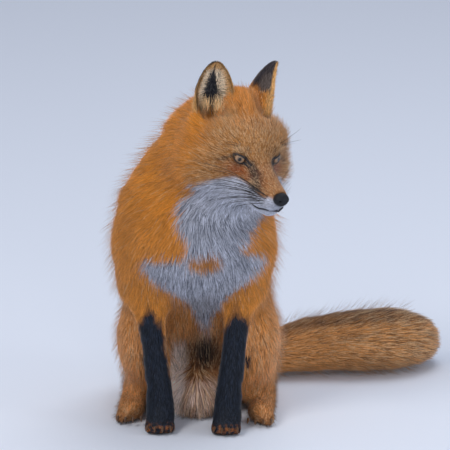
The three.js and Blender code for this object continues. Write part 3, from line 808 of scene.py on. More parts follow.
def markings_and_painted_shade(points, normals, region):
    """The coat's colour at each point, how grizzled it is, and how white. Each marking and each painted shade
    is a
    stain over those before it: a tint, and its share at each point, which is a product of soft steps and
    lumps."""
    fox = on_fox(points)
    head = on_head(points)
    half = folded(head)
    z = fox[:, 2]
    on_face, on_trunk, forelegs, hindlegs, tail = (
        among(region, *names) for names in (("head",), ("trunk",), FORELEGS, HINDLEGS, TAIL)
    )
    ragged = mottle(fox, 14)
    low = smooth(150 - z + 10 * ragged, -10, 45) * (1 - tail) * (1 - on_face)
    tan, muzzle, rusty, flecked = face_masks(half, on_face)
    cheek, chest, breast_spot = white_masks(fox, half, region, ragged)
    white = np.maximum(cheek, chest)
    # Slate over the white: the grey of its undercoat on the chest, a painted shadow under the chin, and grey
    # on the upper lip.
    chin_shadow = smooth(z, 262, 276) * smooth(300 - z, 0, 14)
    shaded = chest * (0.2 + 0.16 * chin_shadow) + 0.3 * bump(half, (8, -116, -43), (14, 16, 7))
    behind_nose = smooth(1.15 - np.linalg.norm((head - NOSE_PLACE) / NOSE_HALF, axis=1), 0, 0.1)
    # Painted shade in the crease between the chest and the left arm.
    armpit_shade = bump(fox, (45, -20, 178), (22, 30, 20)) * (1 - white)
    stocking = stockings(fox, region, ragged)
    _, reach = along_tail(fox)
    white_end = tail * smooth(reach, 0.9, 0.95)

    colour = stained(
        np.tile(ORANGE, (len(points), 1)),
        (MANE, 0.8 * smooth(z, 280, 340)),
        (HAUNCH, 0.85 * low),
        *face_stains(half, on_face, tan, muzzle, rusty, flecked),
        (BREAST_SPOT, 0.75 * breast_spot),
        *belly_stains_and_shadows(fox, on_trunk, ragged),
        (WHITE, white),
        (UMBER, 0.75 * whisker_spots(half) * on_face),
        (0.1 * BLACK, behind_nose),
        # the white's grey undercoat, and painted shadow under the chin
        (SLATE, shaded * white),
        (BROWN, 0.25 * armpit_shade),
        (BLACK, stocking),  # over the white and the armpit, under the toes
        *foot_stains(fox, forelegs, hindlegs),
        (BRUSH, tail),
        (BROWN, tail * tail_dark(fox, normals, reach)),
        (WHITE, white_end),
    )
    grizzle = np.maximum(0.08 + 0.42 * low, 0.8 * tan) * (1 - 0.7 * rusty) * (1 - 0.4 * muzzle)
    grizzle = np.maximum(grizzle, 1.5 * flecked) * (1 - white) * (1 - stocking)
    bushy = (0.4 + 0.5 * smooth(reach, 0.5, 0.85)) * tail
    grizzle = np.maximum(grizzle, bushy) * (1 - white_end)
    return colour, grizzle, np.maximum(white - 0.35 * cheek, white_end)


# How high up the ear each place is, and how far out its black core reaches there, of the half width.
EAR_CORE_UP = (0.28, 0.4, 0.49, 0.6, 0.72, 0.9)
EAR_CORE_HALF = (0.14, 0.32, 0.4, 0.27, 0.18, 0.04)


def ear_markings(across, up, wall, turned):
    """The ear's colour and how grizzled it is: black on the back above an orange base, and in the hollow
    pale grey on both sides of a black core, tan low down, at the edges and round the tip."""
    turn = np.clip(ear_turn(across, up), -math.pi / 2, math.pi / 2)
    aside = np.abs(np.sin(turn) * turned - 0.12)  # from the core, as it is seen from in front
    out = np.abs(across)
    ragged = mottle(np.stack([across * EAR_HALF_WIDTH, np.zeros(len(up)), up * EAR_HEIGHT], 1), 9)
    edge = 0.86 + 0.2 * (across * turned > 0)
    dark_back = smooth(up + 0.05 * ragged, 0.52, 0.66) * smooth(edge - out, 0, 0.1)
    core = smooth(np.interp(up, EAR_CORE_UP, EAR_CORE_HALF) - aside + 0.05 * ragged, -0.05, 0.05)
    back = stained(
        np.tile(ORANGE, (len(up), 1)),
        (EAR_RIM, smooth(out, 0.6, 0.8)),
        (BLACK, 0.97 * dark_back),
        (EAR_WORN, 0.6 * dark_back * smooth(out, 0.1, 0.3) * smooth(0.92 - up, 0, 0.2)),
    )
    hollow = stained(
        np.tile(EAR_GREY, (len(up), 1)),
        (EAR_RIM, smooth(aside, 0.56, 0.78)),
        (EAR_RIM, smooth(up, 0.8, 0.88)),
        (EAR_LOW, smooth(0.42 - up, 0, 0.1)),
        (BLACK, 0.97 * core),
    )
    colour = back + wall[:, None] * (hollow - back)
    return colour, np.where(wall > 0.5, 0.9 * (1 - core), 0.4 * (1 - dark_back))


# ---- Skin: the lie of the hair and the finish ----------------------------
# The hair lies back from the nose over the head, down the neck, body and legs, forwards over the feet and
# along the tail. The skin that shows between the hairs is the colour of their roots, in the same painted
# shade.

LIE_SPREAD = 24  # rounds of smoothing
LOOKS_SPREAD = 30
FORWARDS = np.array([0, -1, -0.25])


def sided(values):
    """-1 on the fox's right and 1 on its left: the hyperbolic tangent of the distance over 40 mm."""
    return np.tanh(values / 40)


def lie_of_hair(points, normals, region):
    """The way the hair lies at each point, along the skin: on the face away from the nose and the eyes, and
    elsewhere a sum of fixed directions, by region and height."""
    x, y, z = on_fox(points).T
    head = on_head(points)
    hx, hy, hz = head.T
    level = np.zeros(len(points))
    face = unit(head - (0, -138, -38))
    cheek = smooth(-hz, -5, 55) * smooth(hy, -75, -10)
    face = face + cheek[:, None] * np.stack([0.3 * sided(hx), level, level - 0.7], 1)
    face = face + smooth(hy, 5, 70)[:, None] * np.array([0, 0.4, -0.8])
    for side in SIDES:
        offset = (points - eye_centre[side]) / MM
        face = face + 2.2 * bump(offset, (0, 0, 0), (13, 13, 13))[:, None] * unit(offset) @ HEAD_AXES.T
    neck = np.stack([0.45 * sided(x - 20), level + 0.55, level - 0.8], 1)
    trunk = np.stack([0.4 * sided(x) * smooth(z, 150, 300), level + 0.3, level - 1], 1)
    shin = np.array([0, 0, -1])
    foreleg = shin + smooth(34 - z, -8, 10)[:, None] * (FORWARDS - shin)
    thigh = np.array([0, 0.25, -1])
    hindleg = thigh + smooth(46 - z, -10, 12)[:, None] * (FORWARDS - thigh)
    tail, _ = along_tail(on_fox(points))
    flows = {
        ("head",): face @ HEAD_AXES, ("neck",): neck, ("trunk",): trunk,
        FORELEGS: foreleg, HINDLEGS: hindleg, TAIL: tail,
    }
    lie = sum(among(region, *names)[:, None] * unit(flow) for names, flow in flows.items())
    return tangent(lie, normals)


lie = tangent(spread(lie_of_hair(skin, skin_normals, skin_region), skin_edges, LIE_SPREAD), skin_normals)
length = spread(hair_length(skin, skin_region), skin_edges, LOOKS_SPREAD)
width = spread(region_table("width", skin_region), skin_edges, LOOKS_SPREAD)
width = width * (1 - 0.3 * among(skin_region, "head") * face_short(on_head(skin)))
lift = spread(region_table("lift", skin_region), skin_edges, LOOKS_SPREAD)


def added(tree, kind, inputs=(), **settings):
    """A new shader node with these settings, fed with these inputs."""
    node = tree.nodes.new(kind)
    for name, value in settings.items():
        setattr(node, name, value)
    return fed(node, inputs)


def object_place(tree):
    """The place on the finished object, which is the same as in its mesh."""
    return added(tree, "ShaderNodeTexCoord").outputs["Object"]


def noise(tree, place, scale, detail):
    """Soft noise from 0 to 1, with as many waves in a metre as its scale."""
    inputs = {"Vector": place, "Scale": scale, "Detail": detail}
    return added(tree, "ShaderNodeTexNoise", inputs).outputs["Fac"]


def ranged(tree, value, low, high, start=0.0, end=1.0):
    """A value that runs from low to high while the one given runs from start to end."""
    return added(tree, "ShaderNodeMapRange", {
        "Value": value, "From Min": start, "From Max": end, "To Min": low, "To Max": high,
    }).outputs[0]


def product(tree, a, b):
    """One value times another."""
    return added(tree, "ShaderNodeMath", {0: a, 1: b}, operation="MULTIPLY").outputs[0]


def lit(tree, colour, light):
    """A colour with all its parts times a value."""
    return added(tree, "ShaderNodeVectorMath", {0: colour, "Scale": light}, operation="SCALE").outputs[0]


def blended(tree, share, a, b):
    """A colour that runs from a to b."""
    mix = added(tree, "ShaderNodeMix", {"Factor": share, "A": a, "B": b}, data_type="RGBA")
    return mix.outputs["Result"]


def hair_group():
    """A shader group for the coat: the hair's own colour, darkened towards its root by painted shade, varied
    over the body in soft patches and from hair to hair, and a roughness that varies with the same patches."""
    group = bpy.data.node_groups.new("fox hair", "ShaderNodeTree")
    for name, in_out, kind in (
        ("Pelt", "INPUT", "Color"), ("Along", "INPUT", "Float"), ("Root Shade", "INPUT", "Float"),
        ("Colour", "OUTPUT", "Color"), ("Roughness", "OUTPUT", "Float"),
    ):
        group.interface.new_socket(name, in_out=in_out, socket_type="NodeSocket" + kind)
    given = added(group, "NodeGroupInput").outputs
    place = object_place(group)
    patches = noise(group, place, 30.0, 3.0)
    patchy = ranged(group, patches, 0.9, 1.1, 0.3, 0.7)
    each_hair = ranged(group, noise(group, place, 700.0, 1.0), 0.93, 1.07, 0.3, 0.7)
    # painted shade: the Root Shade share of the colour at the root, rising to a little over it at the tip
    painted_root_shade = ranged(group, given["Along"], given["Root Shade"], 1.12)
    light = product(group, product(group, patchy, each_hair), painted_root_shade)
    rough = ranged(group, patches, 0.55, 0.75)
    added(group, "NodeGroupOutput", {"Colour": lit(group, given["Pelt"], light), "Roughness": rough})
    return group


HAIR_GROUP = hair_group()


def hair_material(name, root_shade, sheen):
    """Soft hair: coloured by the pelt attribute, whose alpha runs from root to tip."""
    material, shader = finish(name, {
        "Specular IOR Level": 0.25, "Sheen Weight": sheen, "Sheen Roughness": 0.5,
    })
    tree = material.node_tree
    pelt = added(tree, "ShaderNodeAttribute", attribute_name="pelt").outputs
    hair = added(tree, "ShaderNodeGroup", {
        "Pelt": pelt["Color"], "Along": pelt["Alpha"], "Root Shade": root_shade,
    }, node_tree=HAIR_GROUP).outputs
    fed(shader, {"Base Color": hair["Colour"], "Roughness": hair["Roughness"]})
    return material


def piece_of(name, points, faces, material):
    """A piece with smooth shading and one material, placed in the scene."""
    mesh = mesh_of(name, points, faces)
    mesh.shade_smooth()
    mesh.materials.append(material)
    return placed(name, mesh)


def give(piece, name, *columns):
    """An attribute of a piece's vertices: three columns are a vector, and four a colour and its alpha."""
    values = np.column_stack(columns).astype(np.float32)
    kind, field = {3: ("FLOAT_VECTOR", "vector"), 4: ("FLOAT_COLOR", "color")}[values.shape[1]]
    layer = piece.data.attributes.new(name, kind, "POINT")
    layer.data.foreach_set(field, values.ravel())


skin_colour, _, _ = markings_and_painted_shade(skin, skin_normals, skin_region)
across, up, wall, turned = ear_place.T
ear_colour, _ = ear_markings(across, up, wall, turned)
bare_hollow = wall * smooth(0.46 - np.abs(across), 0, 0.12) * smooth(0.84 - up, 0, 0.06)
skin_colour[body_count:] = stained(ear_colour, (BLACK, 0.9 * bare_hollow))
# The skin between the hairs is drawn at the roots' painted shade, 0.45 of its colour.
skin_piece = piece_of("skin", skin, skin_faces, hair_material("skin", root_shade=0.45, sheen=0.0))
give(skin_piece, "pelt", skin_colour, np.zeros(len(skin)))
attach(skin_piece, "root")
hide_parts(*REGIONS, "ear_right", "ear_left")


# ---- Eyes ----------------------------------------------------------------
# Wet balls with a slightly bulging front over an amber iris, which has a dark outline and an upright pupil.
# Each sits in its socket behind the opening of the skin.

IRIS_RADIUS = 7.4  # mm
FRONT_RISE = 0.6
FRONT_EDGE = 1.5  # mm past the iris
PUPIL_HALF = (2.0, 2.6)
IRIS_STOPS = (  # share of the way out to the ball's radius, and the colour there
    (0.0, 0.12, 0.09, 0.07),
    (0.3, 0.20, 0.13, 0.09),
    (0.52, 0.40, 0.24, 0.13),
    (0.63, 0.22, 0.10, 0.05),
    (0.73, 0.012, 0.008, 0.006),
    (0.8, 0.012, 0.009, 0.008),
)


def ball(turns, rings):
    """Directions all over a ball from one pole on Z to the other, and the triangles between them."""
    tilt, turn = np.meshgrid(
        math.pi * np.arange(1, rings) / rings, 2 * math.pi * np.arange(turns) / turns, indexing="ij"
    )
    belts = np.stack([np.sin(tilt) * np.cos(turn), np.sin(tilt) * np.sin(turn), np.cos(tilt)], -1)
    points = np.concatenate([belts.reshape(-1, 3), [(0, 0, 1), (0, 0, -1)]])
    top = (rings - 1) * turns
    a = np.arange(turns)
    b = (a + 1) % turns
    last = top - turns
    first_cap = np.stack([b, a, np.full(turns, top)], 1)
    last_cap = np.stack([last + a, last + b, np.full(turns, top + 1)], 1)
    return points, turned_out(points, np.concatenate([grid_faces(rings - 1, turns), first_cap, last_cap]))


def stretched(tree, place, by):
    """A place with each of its parts times a number, which draws a pattern in or out along the axes."""
    return added(tree, "ShaderNodeVectorMath", {0: place, 1: by}, operation="MULTIPLY").outputs[0]


def eye_material():
    """The iris is a run of colours by the distance from the middle, crossed by noise that is drawn out
    along the radii, with a narrow pupil over it, all under a wet coat."""
    material, shader = finish("eye", {
        "Roughness": 0.4, "Specular IOR Level": 0.05, "Coat Weight": 0.7, "Coat Roughness": 0.05,
    })
    tree = material.node_tree
    place = added(tree, "ShaderNodeAttribute", attribute_name="gaze").outputs["Vector"]
    flat = stretched(tree, place, (1, 1, 0))
    out = added(tree, "ShaderNodeVectorMath", {0: flat}, operation="LENGTH").outputs["Value"]
    share = added(tree, "ShaderNodeMath", {0: out, 1: EYE_RADIUS}, operation="DIVIDE")
    ramp = added(tree, "ShaderNodeValToRGB", {"Fac": share.outputs[0]})
    stops = ramp.color_ramp.elements
    while len(stops) < len(IRIS_STOPS):
        stops.new(0.5)
    for stop, (where, *colour) in zip(stops, IRIS_STOPS):
        stop.position = where
        stop.color = (*colour, 1)
    radial = added(tree, "ShaderNodeVectorMath", {0: flat}, operation="NORMALIZE").outputs[0]
    fibres = ranged(tree, noise(tree, radial, 9.0, 3.0), 0.65, 1.3, 0.3, 0.7)
    slit = stretched(tree, flat, (1 / PUPIL_HALF[0], 1 / PUPIL_HALF[1], 0))
    slit = added(tree, "ShaderNodeVectorMath", {0: slit}, operation="LENGTH").outputs["Value"]
    pupil = ranged(tree, slit, 0.02, 1.0, 0.8, 1.25)
    fed(shader, {"Base Color": lit(tree, ramp.outputs["Color"], product(tree, fibres, pupil))})
    return material


amber = eye_material()
for side in SIDES:
    directions, faces = ball(turns=56, rings=36)
    from_pole = np.arccos(np.clip(directions[:, 2], -1, 1)) * EYE_RADIUS
    rise = FRONT_RISE * smooth(IRIS_RADIUS + FRONT_EDGE - from_pole, 0, 6)
    place = directions * (EYE_RADIUS + rise)[:, None]
    points = from_eye(place, side)
    piece = piece_of("eyeball_" + side, points, turned_out(points - eye_centre[side], faces), amber)
    give(piece, "gaze", place)
    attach(piece, "root")
    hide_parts("eye_" + side)


# ---- Lids ----------------------------------------------------------------
# Black bare rims that close round each ball, with a long dark inner corner. Their outer edges sink under
# the short hair.

LID_SECTION = np.array([  # mm out from the edge of the opening, and up from the skin or the ball
    (0.2, -1.8), (-0.2, 0.1), (0.2, 0.8), (0.8, 1.1), (1.4, 1.15),
    (2.1, 1.0), (2.9, 0.6), (3.8, -0.4), (3.4, -1.9),
])
LID_STEPS = 88  # round the opening
BARE = {"lower": 1.4, "upper": 2.3, "corner": 7.0}  # mm of each lid that no hair covers
INNER_TAIL = (6.5, -2.6)  # mm, how far the inner corner runs on, inwards and down
TAIL_TURN = 0.42  # radians of the band that the tail draws out
BARE_TURN = 0.75
RAY_START = 25  # mm out from the middle of the ball
LEATHER = (0.012, 0.012, 0.014)


def skin_height(flat, side):
    """mm from the middle of a ball out to the skin, at a place across it. 0 where there is no skin."""
    start = from_eye((*flat, RAY_START), side)
    hit = skin_tree.ray_cast(start.tolist(), (-eye_axes(side)[2]).tolist(), 40 * MM)
    return 0 if hit[0] is None else RAY_START - hit[3] / MM


def lid_ring(side):
    """A closed band round the almond of the opening, and how bare each vertex is. Its height follows
    whichever of the skin and the ball stands higher, smoothed along the band."""
    turn = 2 * math.pi * np.arange(LID_STEPS) / LID_STEPS
    from_corner = np.minimum(turn, 2 * math.pi - turn)
    along = (OUTER_CORNER + INNER_CORNER) / 2 + (INNER_CORNER - OUTER_CORNER) / 2 * np.cos(turn)
    upper, lower = lid_lines(along)
    tail = swell(from_corner, 0, TAIL_TURN)[:, None]
    edge = np.stack([along, np.where(turn < math.pi, upper, lower)], 1) + tail * INNER_TAIL
    ahead = unit(np.roll(edge, -2, 0) - np.roll(edge, 2, 0))
    out = np.stack([ahead[:, 1], -ahead[:, 0]], 1)
    flat = edge[:, None] + LID_SECTION[:, 0, None] * out[:, None]
    ball_height = np.sqrt(np.maximum((EYE_RADIUS + 0.1) ** 2 - (flat**2).sum(-1), 0))
    height = np.maximum(ball_height, [[skin_height(place, side) for place in row] for row in flat])
    for _ in range(3):
        height = (np.roll(height, 1, 0) + 2 * height + np.roll(height, -1, 0)) / 4
    place = np.concatenate([flat, (height + LID_SECTION[:, 1])[..., None]], -1)
    points = from_eye(place.reshape(-1, 3), side)
    bare_to = BARE["lower"] + (BARE["upper"] - BARE["lower"]) * smooth(np.sin(turn), -0.2, 0.4)
    bare_to = bare_to + BARE["corner"] * swell(from_corner, 0, BARE_TURN)
    bare = smooth(bare_to[:, None] - LID_SECTION[:, 0], -0.4, 0.4).ravel()
    faces = grid_faces(LID_STEPS, len(LID_SECTION), ring=True)
    return points, turned_out(points - eye_centre[side], faces), bare


def leather_material(name, colour, roughness, coat, grain, furred=False):
    """Bare black skin: close-set grains as a bump, and a roughness that varies. Where it is furred, the
    pelt attribute gives the colour of the short hair in its painted root shade, and its alpha how bare the
    skin is."""
    material, shader = finish(name, {"Specular IOR Level": 0.3, "Coat Weight": coat, "Coat Roughness": 0.2})
    tree = material.node_tree
    place = object_place(tree)
    grains = added(tree, "ShaderNodeTexVoronoi", {"Vector": place, "Scale": grain}).outputs["Distance"]
    patches = noise(tree, place, 300.0, 3.0)
    relief = added(tree, "ShaderNodeBump", {
        "Height": grains, "Strength": 0.35, "Distance": 0.0004,
    }, invert=True)
    shown = lit(tree, colour, ranged(tree, patches, 0.6, 1.5))
    if furred:
        pelt = added(tree, "ShaderNodeAttribute", attribute_name="pelt").outputs
        shown = blended(tree, pelt["Alpha"], pelt["Color"], shown)
    rough = ranged(tree, patches, roughness - 0.1, roughness + 0.1)
    fed(shader, {"Base Color": shown, "Roughness": rough, "Normal": relief.outputs[0]})
    return material


lid_leather = leather_material("lid", LEATHER, roughness=0.45, coat=0.1, grain=1500.0, furred=True)
for side in SIDES:
    points, faces, bare = lid_ring(side)
    lid_region = np.full(len(points), region_names.index("head"))
    lid_colour, _, _ = markings_and_painted_shade(points, vertex_normals(points, faces), lid_region)
    piece = piece_of("lid_" + side, points, faces, lid_leather)
    # The furred part of a lid is half the coat's colour: the painted shade of the hair's roots.
    give(piece, "pelt", 0.5 * lid_colour, bare)
    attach(piece, "root")


# ---- Nose ----------------------------------------------------------------
# A grained black pad of bare skin, moulded over the end of the muzzle, with a comma-shaped nostril on each
# side and a groove down the middle.

NOSE_BLACK = (0.006, 0.007, 0.010)
NOSTRIL = (5.2, -0.6)  # mm to the side and up
NOSTRIL_HALF = (2.0, 1.7)
NOSTRIL_DEPTH = 3.0
SLIT = (8.2, -2.2)
SLIT_HALF = (2.2, 0.8)
SLIT_DEPTH = 1.2
GROOVE_HALF = 0.5
GROOVE_DEPTH = 0.8


def nose_pad():
    """A ball drawn out to the pad's size and narrowed below, with its front pushed in at the nostrils, at the
    slits that run out from them, and along the groove."""
    directions, faces = ball(turns=120, rings=80)
    x, z, y = directions.T
    y = -y
    side = np.abs(x) * NOSE_HALF[0]
    up = z * NOSE_HALF[2]
    at = np.stack([side, up], 1)
    front = smooth(-y, 0.05, 0.4)
    nostril = np.exp(-((((at - NOSTRIL) / NOSTRIL_HALF) ** 2).sum(1) ** 1.5))
    groove = swell(side, 0, GROOVE_HALF) * smooth(2 - up, 0, 4)
    push = NOSTRIL_DEPTH * nostril + SLIT_DEPTH * bump(at, SLIT, SLIT_HALF) + GROOVE_DEPTH * groove
    narrow = 1 - 0.22 * smooth(-z, 0.1, 1)
    shape = np.stack([x * NOSE_HALF[0] * narrow, y * NOSE_HALF[1] + front * push, up], 1)
    points = from_head(shape + NOSE_PLACE)
    return points, turned_out(points - points.mean(0), faces)


nose_leather = leather_material("nose", NOSE_BLACK, roughness=0.6, coat=0.0, grain=900.0)
nose_piece = piece_of("nose_pad", *nose_pad(), nose_leather)
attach(nose_piece, "root")
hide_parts("nose")


# ---- Mouth ---------------------------------------------------------------
# The edge of the closed lips: a thin dark line of bare skin down from the nose and back along both sides,
# laid on the skin.

LIP_POINTS = 24
LIP_RADIUS = 1.15  # mm
LIP_FORWARD = np.linspace(127, 86, LIP_POINTS)
LIP_HEIGHT = np.interp(LIP_FORWARD, (86, 92, 100, 112, 127), (-52.5, -54.5, -54.5, -50.8, -48.0))
UNDER_NOSE = ((0, -136.5, -38.5), (0, -128, -48.4))


def strands(paths, radii, sides=3):
    """Closed tapering tubes with flat ends, one along each row of points: rings round it at each radius."""
    count, rows = radii.shape
    ahead = unit(np.gradient(paths, axis=1))
    across = unit(np.cross(ahead, (0.31, 0.17, 0.93)))
    turn = 2 * math.pi * np.arange(sides)[:, None] / sides
    ring = np.cos(turn) * across[:, :, None] + np.sin(turn) * np.cross(ahead, across)[:, :, None]
    points = paths[:, :, None] + radii[..., None, None] * ring
    fan = np.array([(0, k + 1, k) for k in range(1, sides - 1)])
    one = np.concatenate([grid_faces(rows, sides), fan[:, ::-1], fan + (rows - 1) * sides])
    faces = (one + rows * sides * np.arange(count)[:, None, None]).reshape(-1, 3)
    points = points.reshape(-1, 3)
    return points, turned_out(points - points.mean(0), faces)


def on_face_at(side, forward, height):
    """The place on the skin at a side of the head, found from far out, in the head frame."""
    start = from_head((SIDES[side] * 80, -forward, height))
    hit = skin_tree.ray_cast(start.tolist(), (-SIDES[side] * head_left).tolist(), 90 * MM)
    return on_head(np.array(hit[0] if hit[0] is not None else from_head((0, -forward, height))))


def lip_path(side):
    """The line of the lips on one side, in the head frame, with each point evened with its neighbours."""
    path = np.array([on_face_at(side, *place) for place in zip(LIP_FORWARD, LIP_HEIGHT)])
    path[1:-1] = (path[:-2] + 2 * path[1:-1] + path[2:]) / 4
    return path


lips = {side: lip_path(side) for side in SIDES}
mouth_lines = from_head(np.array([*lips.values(), np.linspace(*UNDER_NOSE, LIP_POINTS)]))
lip_radii = LIP_RADIUS * MM * np.interp(np.linspace(0, 1, LIP_POINTS), (0, 0.06, 0.85, 1), (0.6, 1, 1, 0.3))
lip_leather = leather_material("lip", LEATHER, roughness=0.45, coat=0.1, grain=1500.0)
mouth_piece = piece_of("mouth", *strands(mouth_lines, np.tile(lip_radii, (3, 1)), sides=8), lip_leather)
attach(mouth_piece, "root")


# ---- Coat ----------------------------------------------------------------
# Fine tufts of hair rooted in the skin. Each is a closed spike with three sides, flattened over the body,
# and the longer ones have a bend. Neighbours lean together into locks.

SPINDLE = np.array([(0, 2, 1), (0, 3, 2), (0, 1, 3), (4, 1, 2), (4, 2, 3), (4, 3, 1)])
ACROSS = np.array([0, -0.5, 0, 0.5, 0])  # of each of a tuft's five corners
ALONG = np.array([0, BEND_AT, BEND_AT, BEND_AT, 1])
ROOTED = 0.5  # mm under the skin
LOCK = 14  # tufts to a lock
GATHER = 0.35  # of the way that a tuft's tip is drawn to its lock's, at most
PATCH = 0.003  # of a tuft on the unwrap
FLOOR_CLEARANCE = 0.4  # mm
LIP_CLEARANCE = 2.6  # round the line of the lips
CORNER_CLEARANCE = 4.2  # round the dark inner corner of an eye
NOSE_CLEAR = (11.4, 9.5, 9.6)  # mm, half the room that the pad has among the hair
CROWN_TO_FACE = 12  # mm forwards in the head frame, where the crown's piece ends and the face's starts
CHEST_BACK = 34  # mm back in the fox frame, where the chest's piece ends
CHEST_FOOT = 110  # mm up
FUZZY_CHEEK = (-20, 66)  # mm forwards
CHEEK_OUT = 30
EYE_CLEARANCE = 20  # mm round the eye, of the cheek's fuzz
COLLAR_CENTRE = (22, 6, 50)  # in the head frame, on the left
COLLAR_RADIUS = 22
FRINGE_FORWARD = 70
GUARD_HAIRS = {"finer": 0.5, "longer": 1.28, "steeper": 2.4, "gather": 0, "droop": 1.6, "tipped": 0.8}
CHEEK_FUZZ = {"finer": 0.5, "longer": 1.4, "steeper": 1.9, "gather": 0, "droop": 1.4, "tipped": 0.3}
EAR_COLLAR = {"finer": 0.7, "longer": 1.1, "steeper": 2.0, "gather": 0.15, "droop": 1.5}

random = np.random.default_rng(7)
first, second, third = (skin[skin_faces[:, k]] for k in range(3))
face_area = np.linalg.norm(np.cross(second - first, third - first), axis=1) / 2
face_centre = skin[skin_faces].mean(1)
face_region = skin_region[skin_faces[:, 0]]


def tree_of(points):
    """A tree of points, to find the nearest in."""
    tree = KDTree(len(points))
    for index, place in enumerate(points.tolist()):
        tree.insert(place, index)
    tree.balance()
    return tree


def tufts(
    name, root, normal, lie, length, width, lift, colour, patch, gather=GATHER, droop=DROOP, tipped=0
):
    """One piece of coat. A tuft leaves its root at the given lift, bends where its ring of two side corners
    and a ridge lies, and goes on at the lift over the droop to a point, which is drawn towards its lock's
    and may be tipped with dark. On the unwrap for baking, every tuft is a small patch at its root's place."""
    count = len(root)
    side = unit(np.cross(normal, lie))
    steep = lift[:, None]
    reach = length[:, None]
    start = root - ROOTED * MM * normal
    bend = start + BEND_AT * reach * (np.cos(steep) * lie + np.sin(steep) * normal)
    tip = bend + (1 - BEND_AT) * reach * (np.cos(steep / droop) * lie + np.sin(steep / droop) * normal)
    if gather:
        centres = random.choice(count, max(1, count // LOCK), replace=False)
        locks = tree_of(root[centres])
        nearest = centres[np.array([locks.find(place)[1] for place in root.tolist()])]
        drift = gather * random.uniform(0.2, 1, (count, 1)) * (tip[nearest] - tip)
        near_enough = np.linalg.norm(tip[nearest] - tip, axis=1, keepdims=True) < 0.6 * reach
        tip = tip + drift * near_enough
        bend = bend + 0.35 * drift * near_enough
    half = 0.5 * width[:, None]
    points = np.stack([start, bend + half * side, bend + 0.8 * half * normal, bend - half * side, tip], 1)
    points[..., 2] = np.maximum(points[..., 2], FLOOR_CLEARANCE * MM)
    slopes = [unit(0.85 * normal + 0.55 * side), unit(normal + 0.2 * lie), unit(0.85 * normal - 0.55 * side)]
    facing = np.stack([normal, *slopes, unit(normal + 0.4 * lie)], 1)
    faces = (SPINDLE + 5 * np.arange(count)[:, None, None]).reshape(-1, 3)
    shaded = colour[:, None] + tipped * ALONG[:, None] ** 2 * (UMBER - colour[:, None])
    piece = piece_of(name, points.reshape(-1, 3), faces, coat_material)
    give(piece, "pelt", shaded.reshape(-1, 3), np.tile(ALONG, count))
    give(piece, "custom_normal", facing.reshape(-1, 3))
    corners = patch[:, None] + PATCH * np.stack([ACROSS, ALONG], 1)
    unwrap = piece.data.uv_layers.new(name="OFBake")
    unwrap.uv.foreach_set("vector", corners.reshape(-1, 2)[faces.ravel()].astype(np.float32).ravel())
    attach(piece, "root")


def varied(colour, grizzle, white, chance):
    """Hair-to-hair differences: brighter and duller ones, most in the black, dark and cream ones where the
    coat is grizzled, slate ones in the white, and in the black a few slate ones, part grey hair, part painted
    sheen."""
    dark = smooth(0.12 - colour.mean(1), 0, 0.09)
    colour = colour * np.exp(random.normal(0, 1, len(colour)) * (0.13 + 0.36 * dark))[:, None]
    return stained(
        colour,
        (BROWN, 0.65 * (chance < 0.25 * grizzle)),
        (CREAM, 0.65 * (chance > 1 - 0.4 * grizzle)),
        # slate strands in the black: part grey hairs, part a painted blue sheen
        (SLATE, 0.18 * dark * (chance > 0.75)),
        (SLATE, 0.8 * white * (chance < 0.42)),
    )


def unrolled(points, up_axis):
    """A roll round an axis through the points' mean: the turn about it and the height, both 0 to 1."""
    a, b = [k for k in range(3) if k != up_axis]
    axis = points.mean(0)
    turn = np.arctan2(points[:, a] - axis[a], points[:, b] - axis[b]) / (2 * math.pi) + 0.5
    height = points[:, up_axis]
    height = (height - height.min()) / (height.max() - height.min())
    return 0.005 + 0.985 * np.stack([turn, height], 1)


def rooted(name, chosen, count, up_axis, finer=1.0, longer=1.0, steeper=1.0, **looks):
    """A piece of coat on the chosen faces of the skin, denser where the hair is shorter."""
    density = face_area * chosen / (length[skin_faces[:, 0]] * width[skin_faces[:, 0]]) ** 0.8
    pick = random.choice(len(skin_faces), count, p=density / density.sum())
    r, s = random.random((2, count))
    shares = np.stack([1 - np.sqrt(r), np.sqrt(r) * (1 - s), np.sqrt(r) * s], 1)
    corners = skin_faces[pick]

    def here(values):
        """What the skin's vertices hold, at each root: the three corners' values by their shares."""
        return (values[corners] * (shares[..., None] if values.ndim > 1 else shares)).sum(1)

    root = here(skin)
    normal = unit(here(skin_normals))
    fork = random.normal(0, 0.16, (count, 1))
    flow = tangent(here(lie), normal)
    flow = unit(flow + fork * np.cross(normal, flow))
    long = longer * here(length) * MM * random.uniform(0.75, 1.12, count)
    wide = finer * here(width) * MM * random.uniform(0.75, 1.2, count)
    steep = steeper * np.radians(here(lift)) * random.uniform(0.6, 1.3, count)
    chance = random.random(count)
    seen = root + 0.6 * long[:, None] * flow + 0.08 * long[:, None] * random.normal(0, 1, (count, 3))
    colour, grizzle, white = markings_and_painted_shade(seen, normal, skin_region[corners[:, 0]])
    colour = varied(colour, grizzle, white, chance)
    tufts(name, root, normal, flow, long, wide, steep, colour, unrolled(root, up_axis), **looks)


# The roots are drawn at half their colour: painted shade deep in the coat.
coat_material = hair_material("coat", root_shade=0.5, sheen=0.15)
head_centre = on_head(face_centre)
half_centre = folded(head_centre)
fox_centre = on_fox(face_centre)
forward = -head_centre[:, 1]
on_right = fox_centre[:, 0] <= 0

in_eyes = in_eye(face_centre, "right", 1.6)[0] | in_eye(face_centre, "left", 1.6)[0]
in_eyes |= np.linalg.norm(half_centre - CORNER_HALF, axis=1) < CORNER_CLEARANCE
off_nose = np.linalg.norm((head_centre - NOSE_PLACE) / NOSE_CLEAR, axis=1) > 1
lip_tree = tree_of(np.concatenate(list(lips.values())))
off_lips = np.array([lip_tree.find(place)[2] > LIP_CLEARANCE for place in head_centre.tolist()])

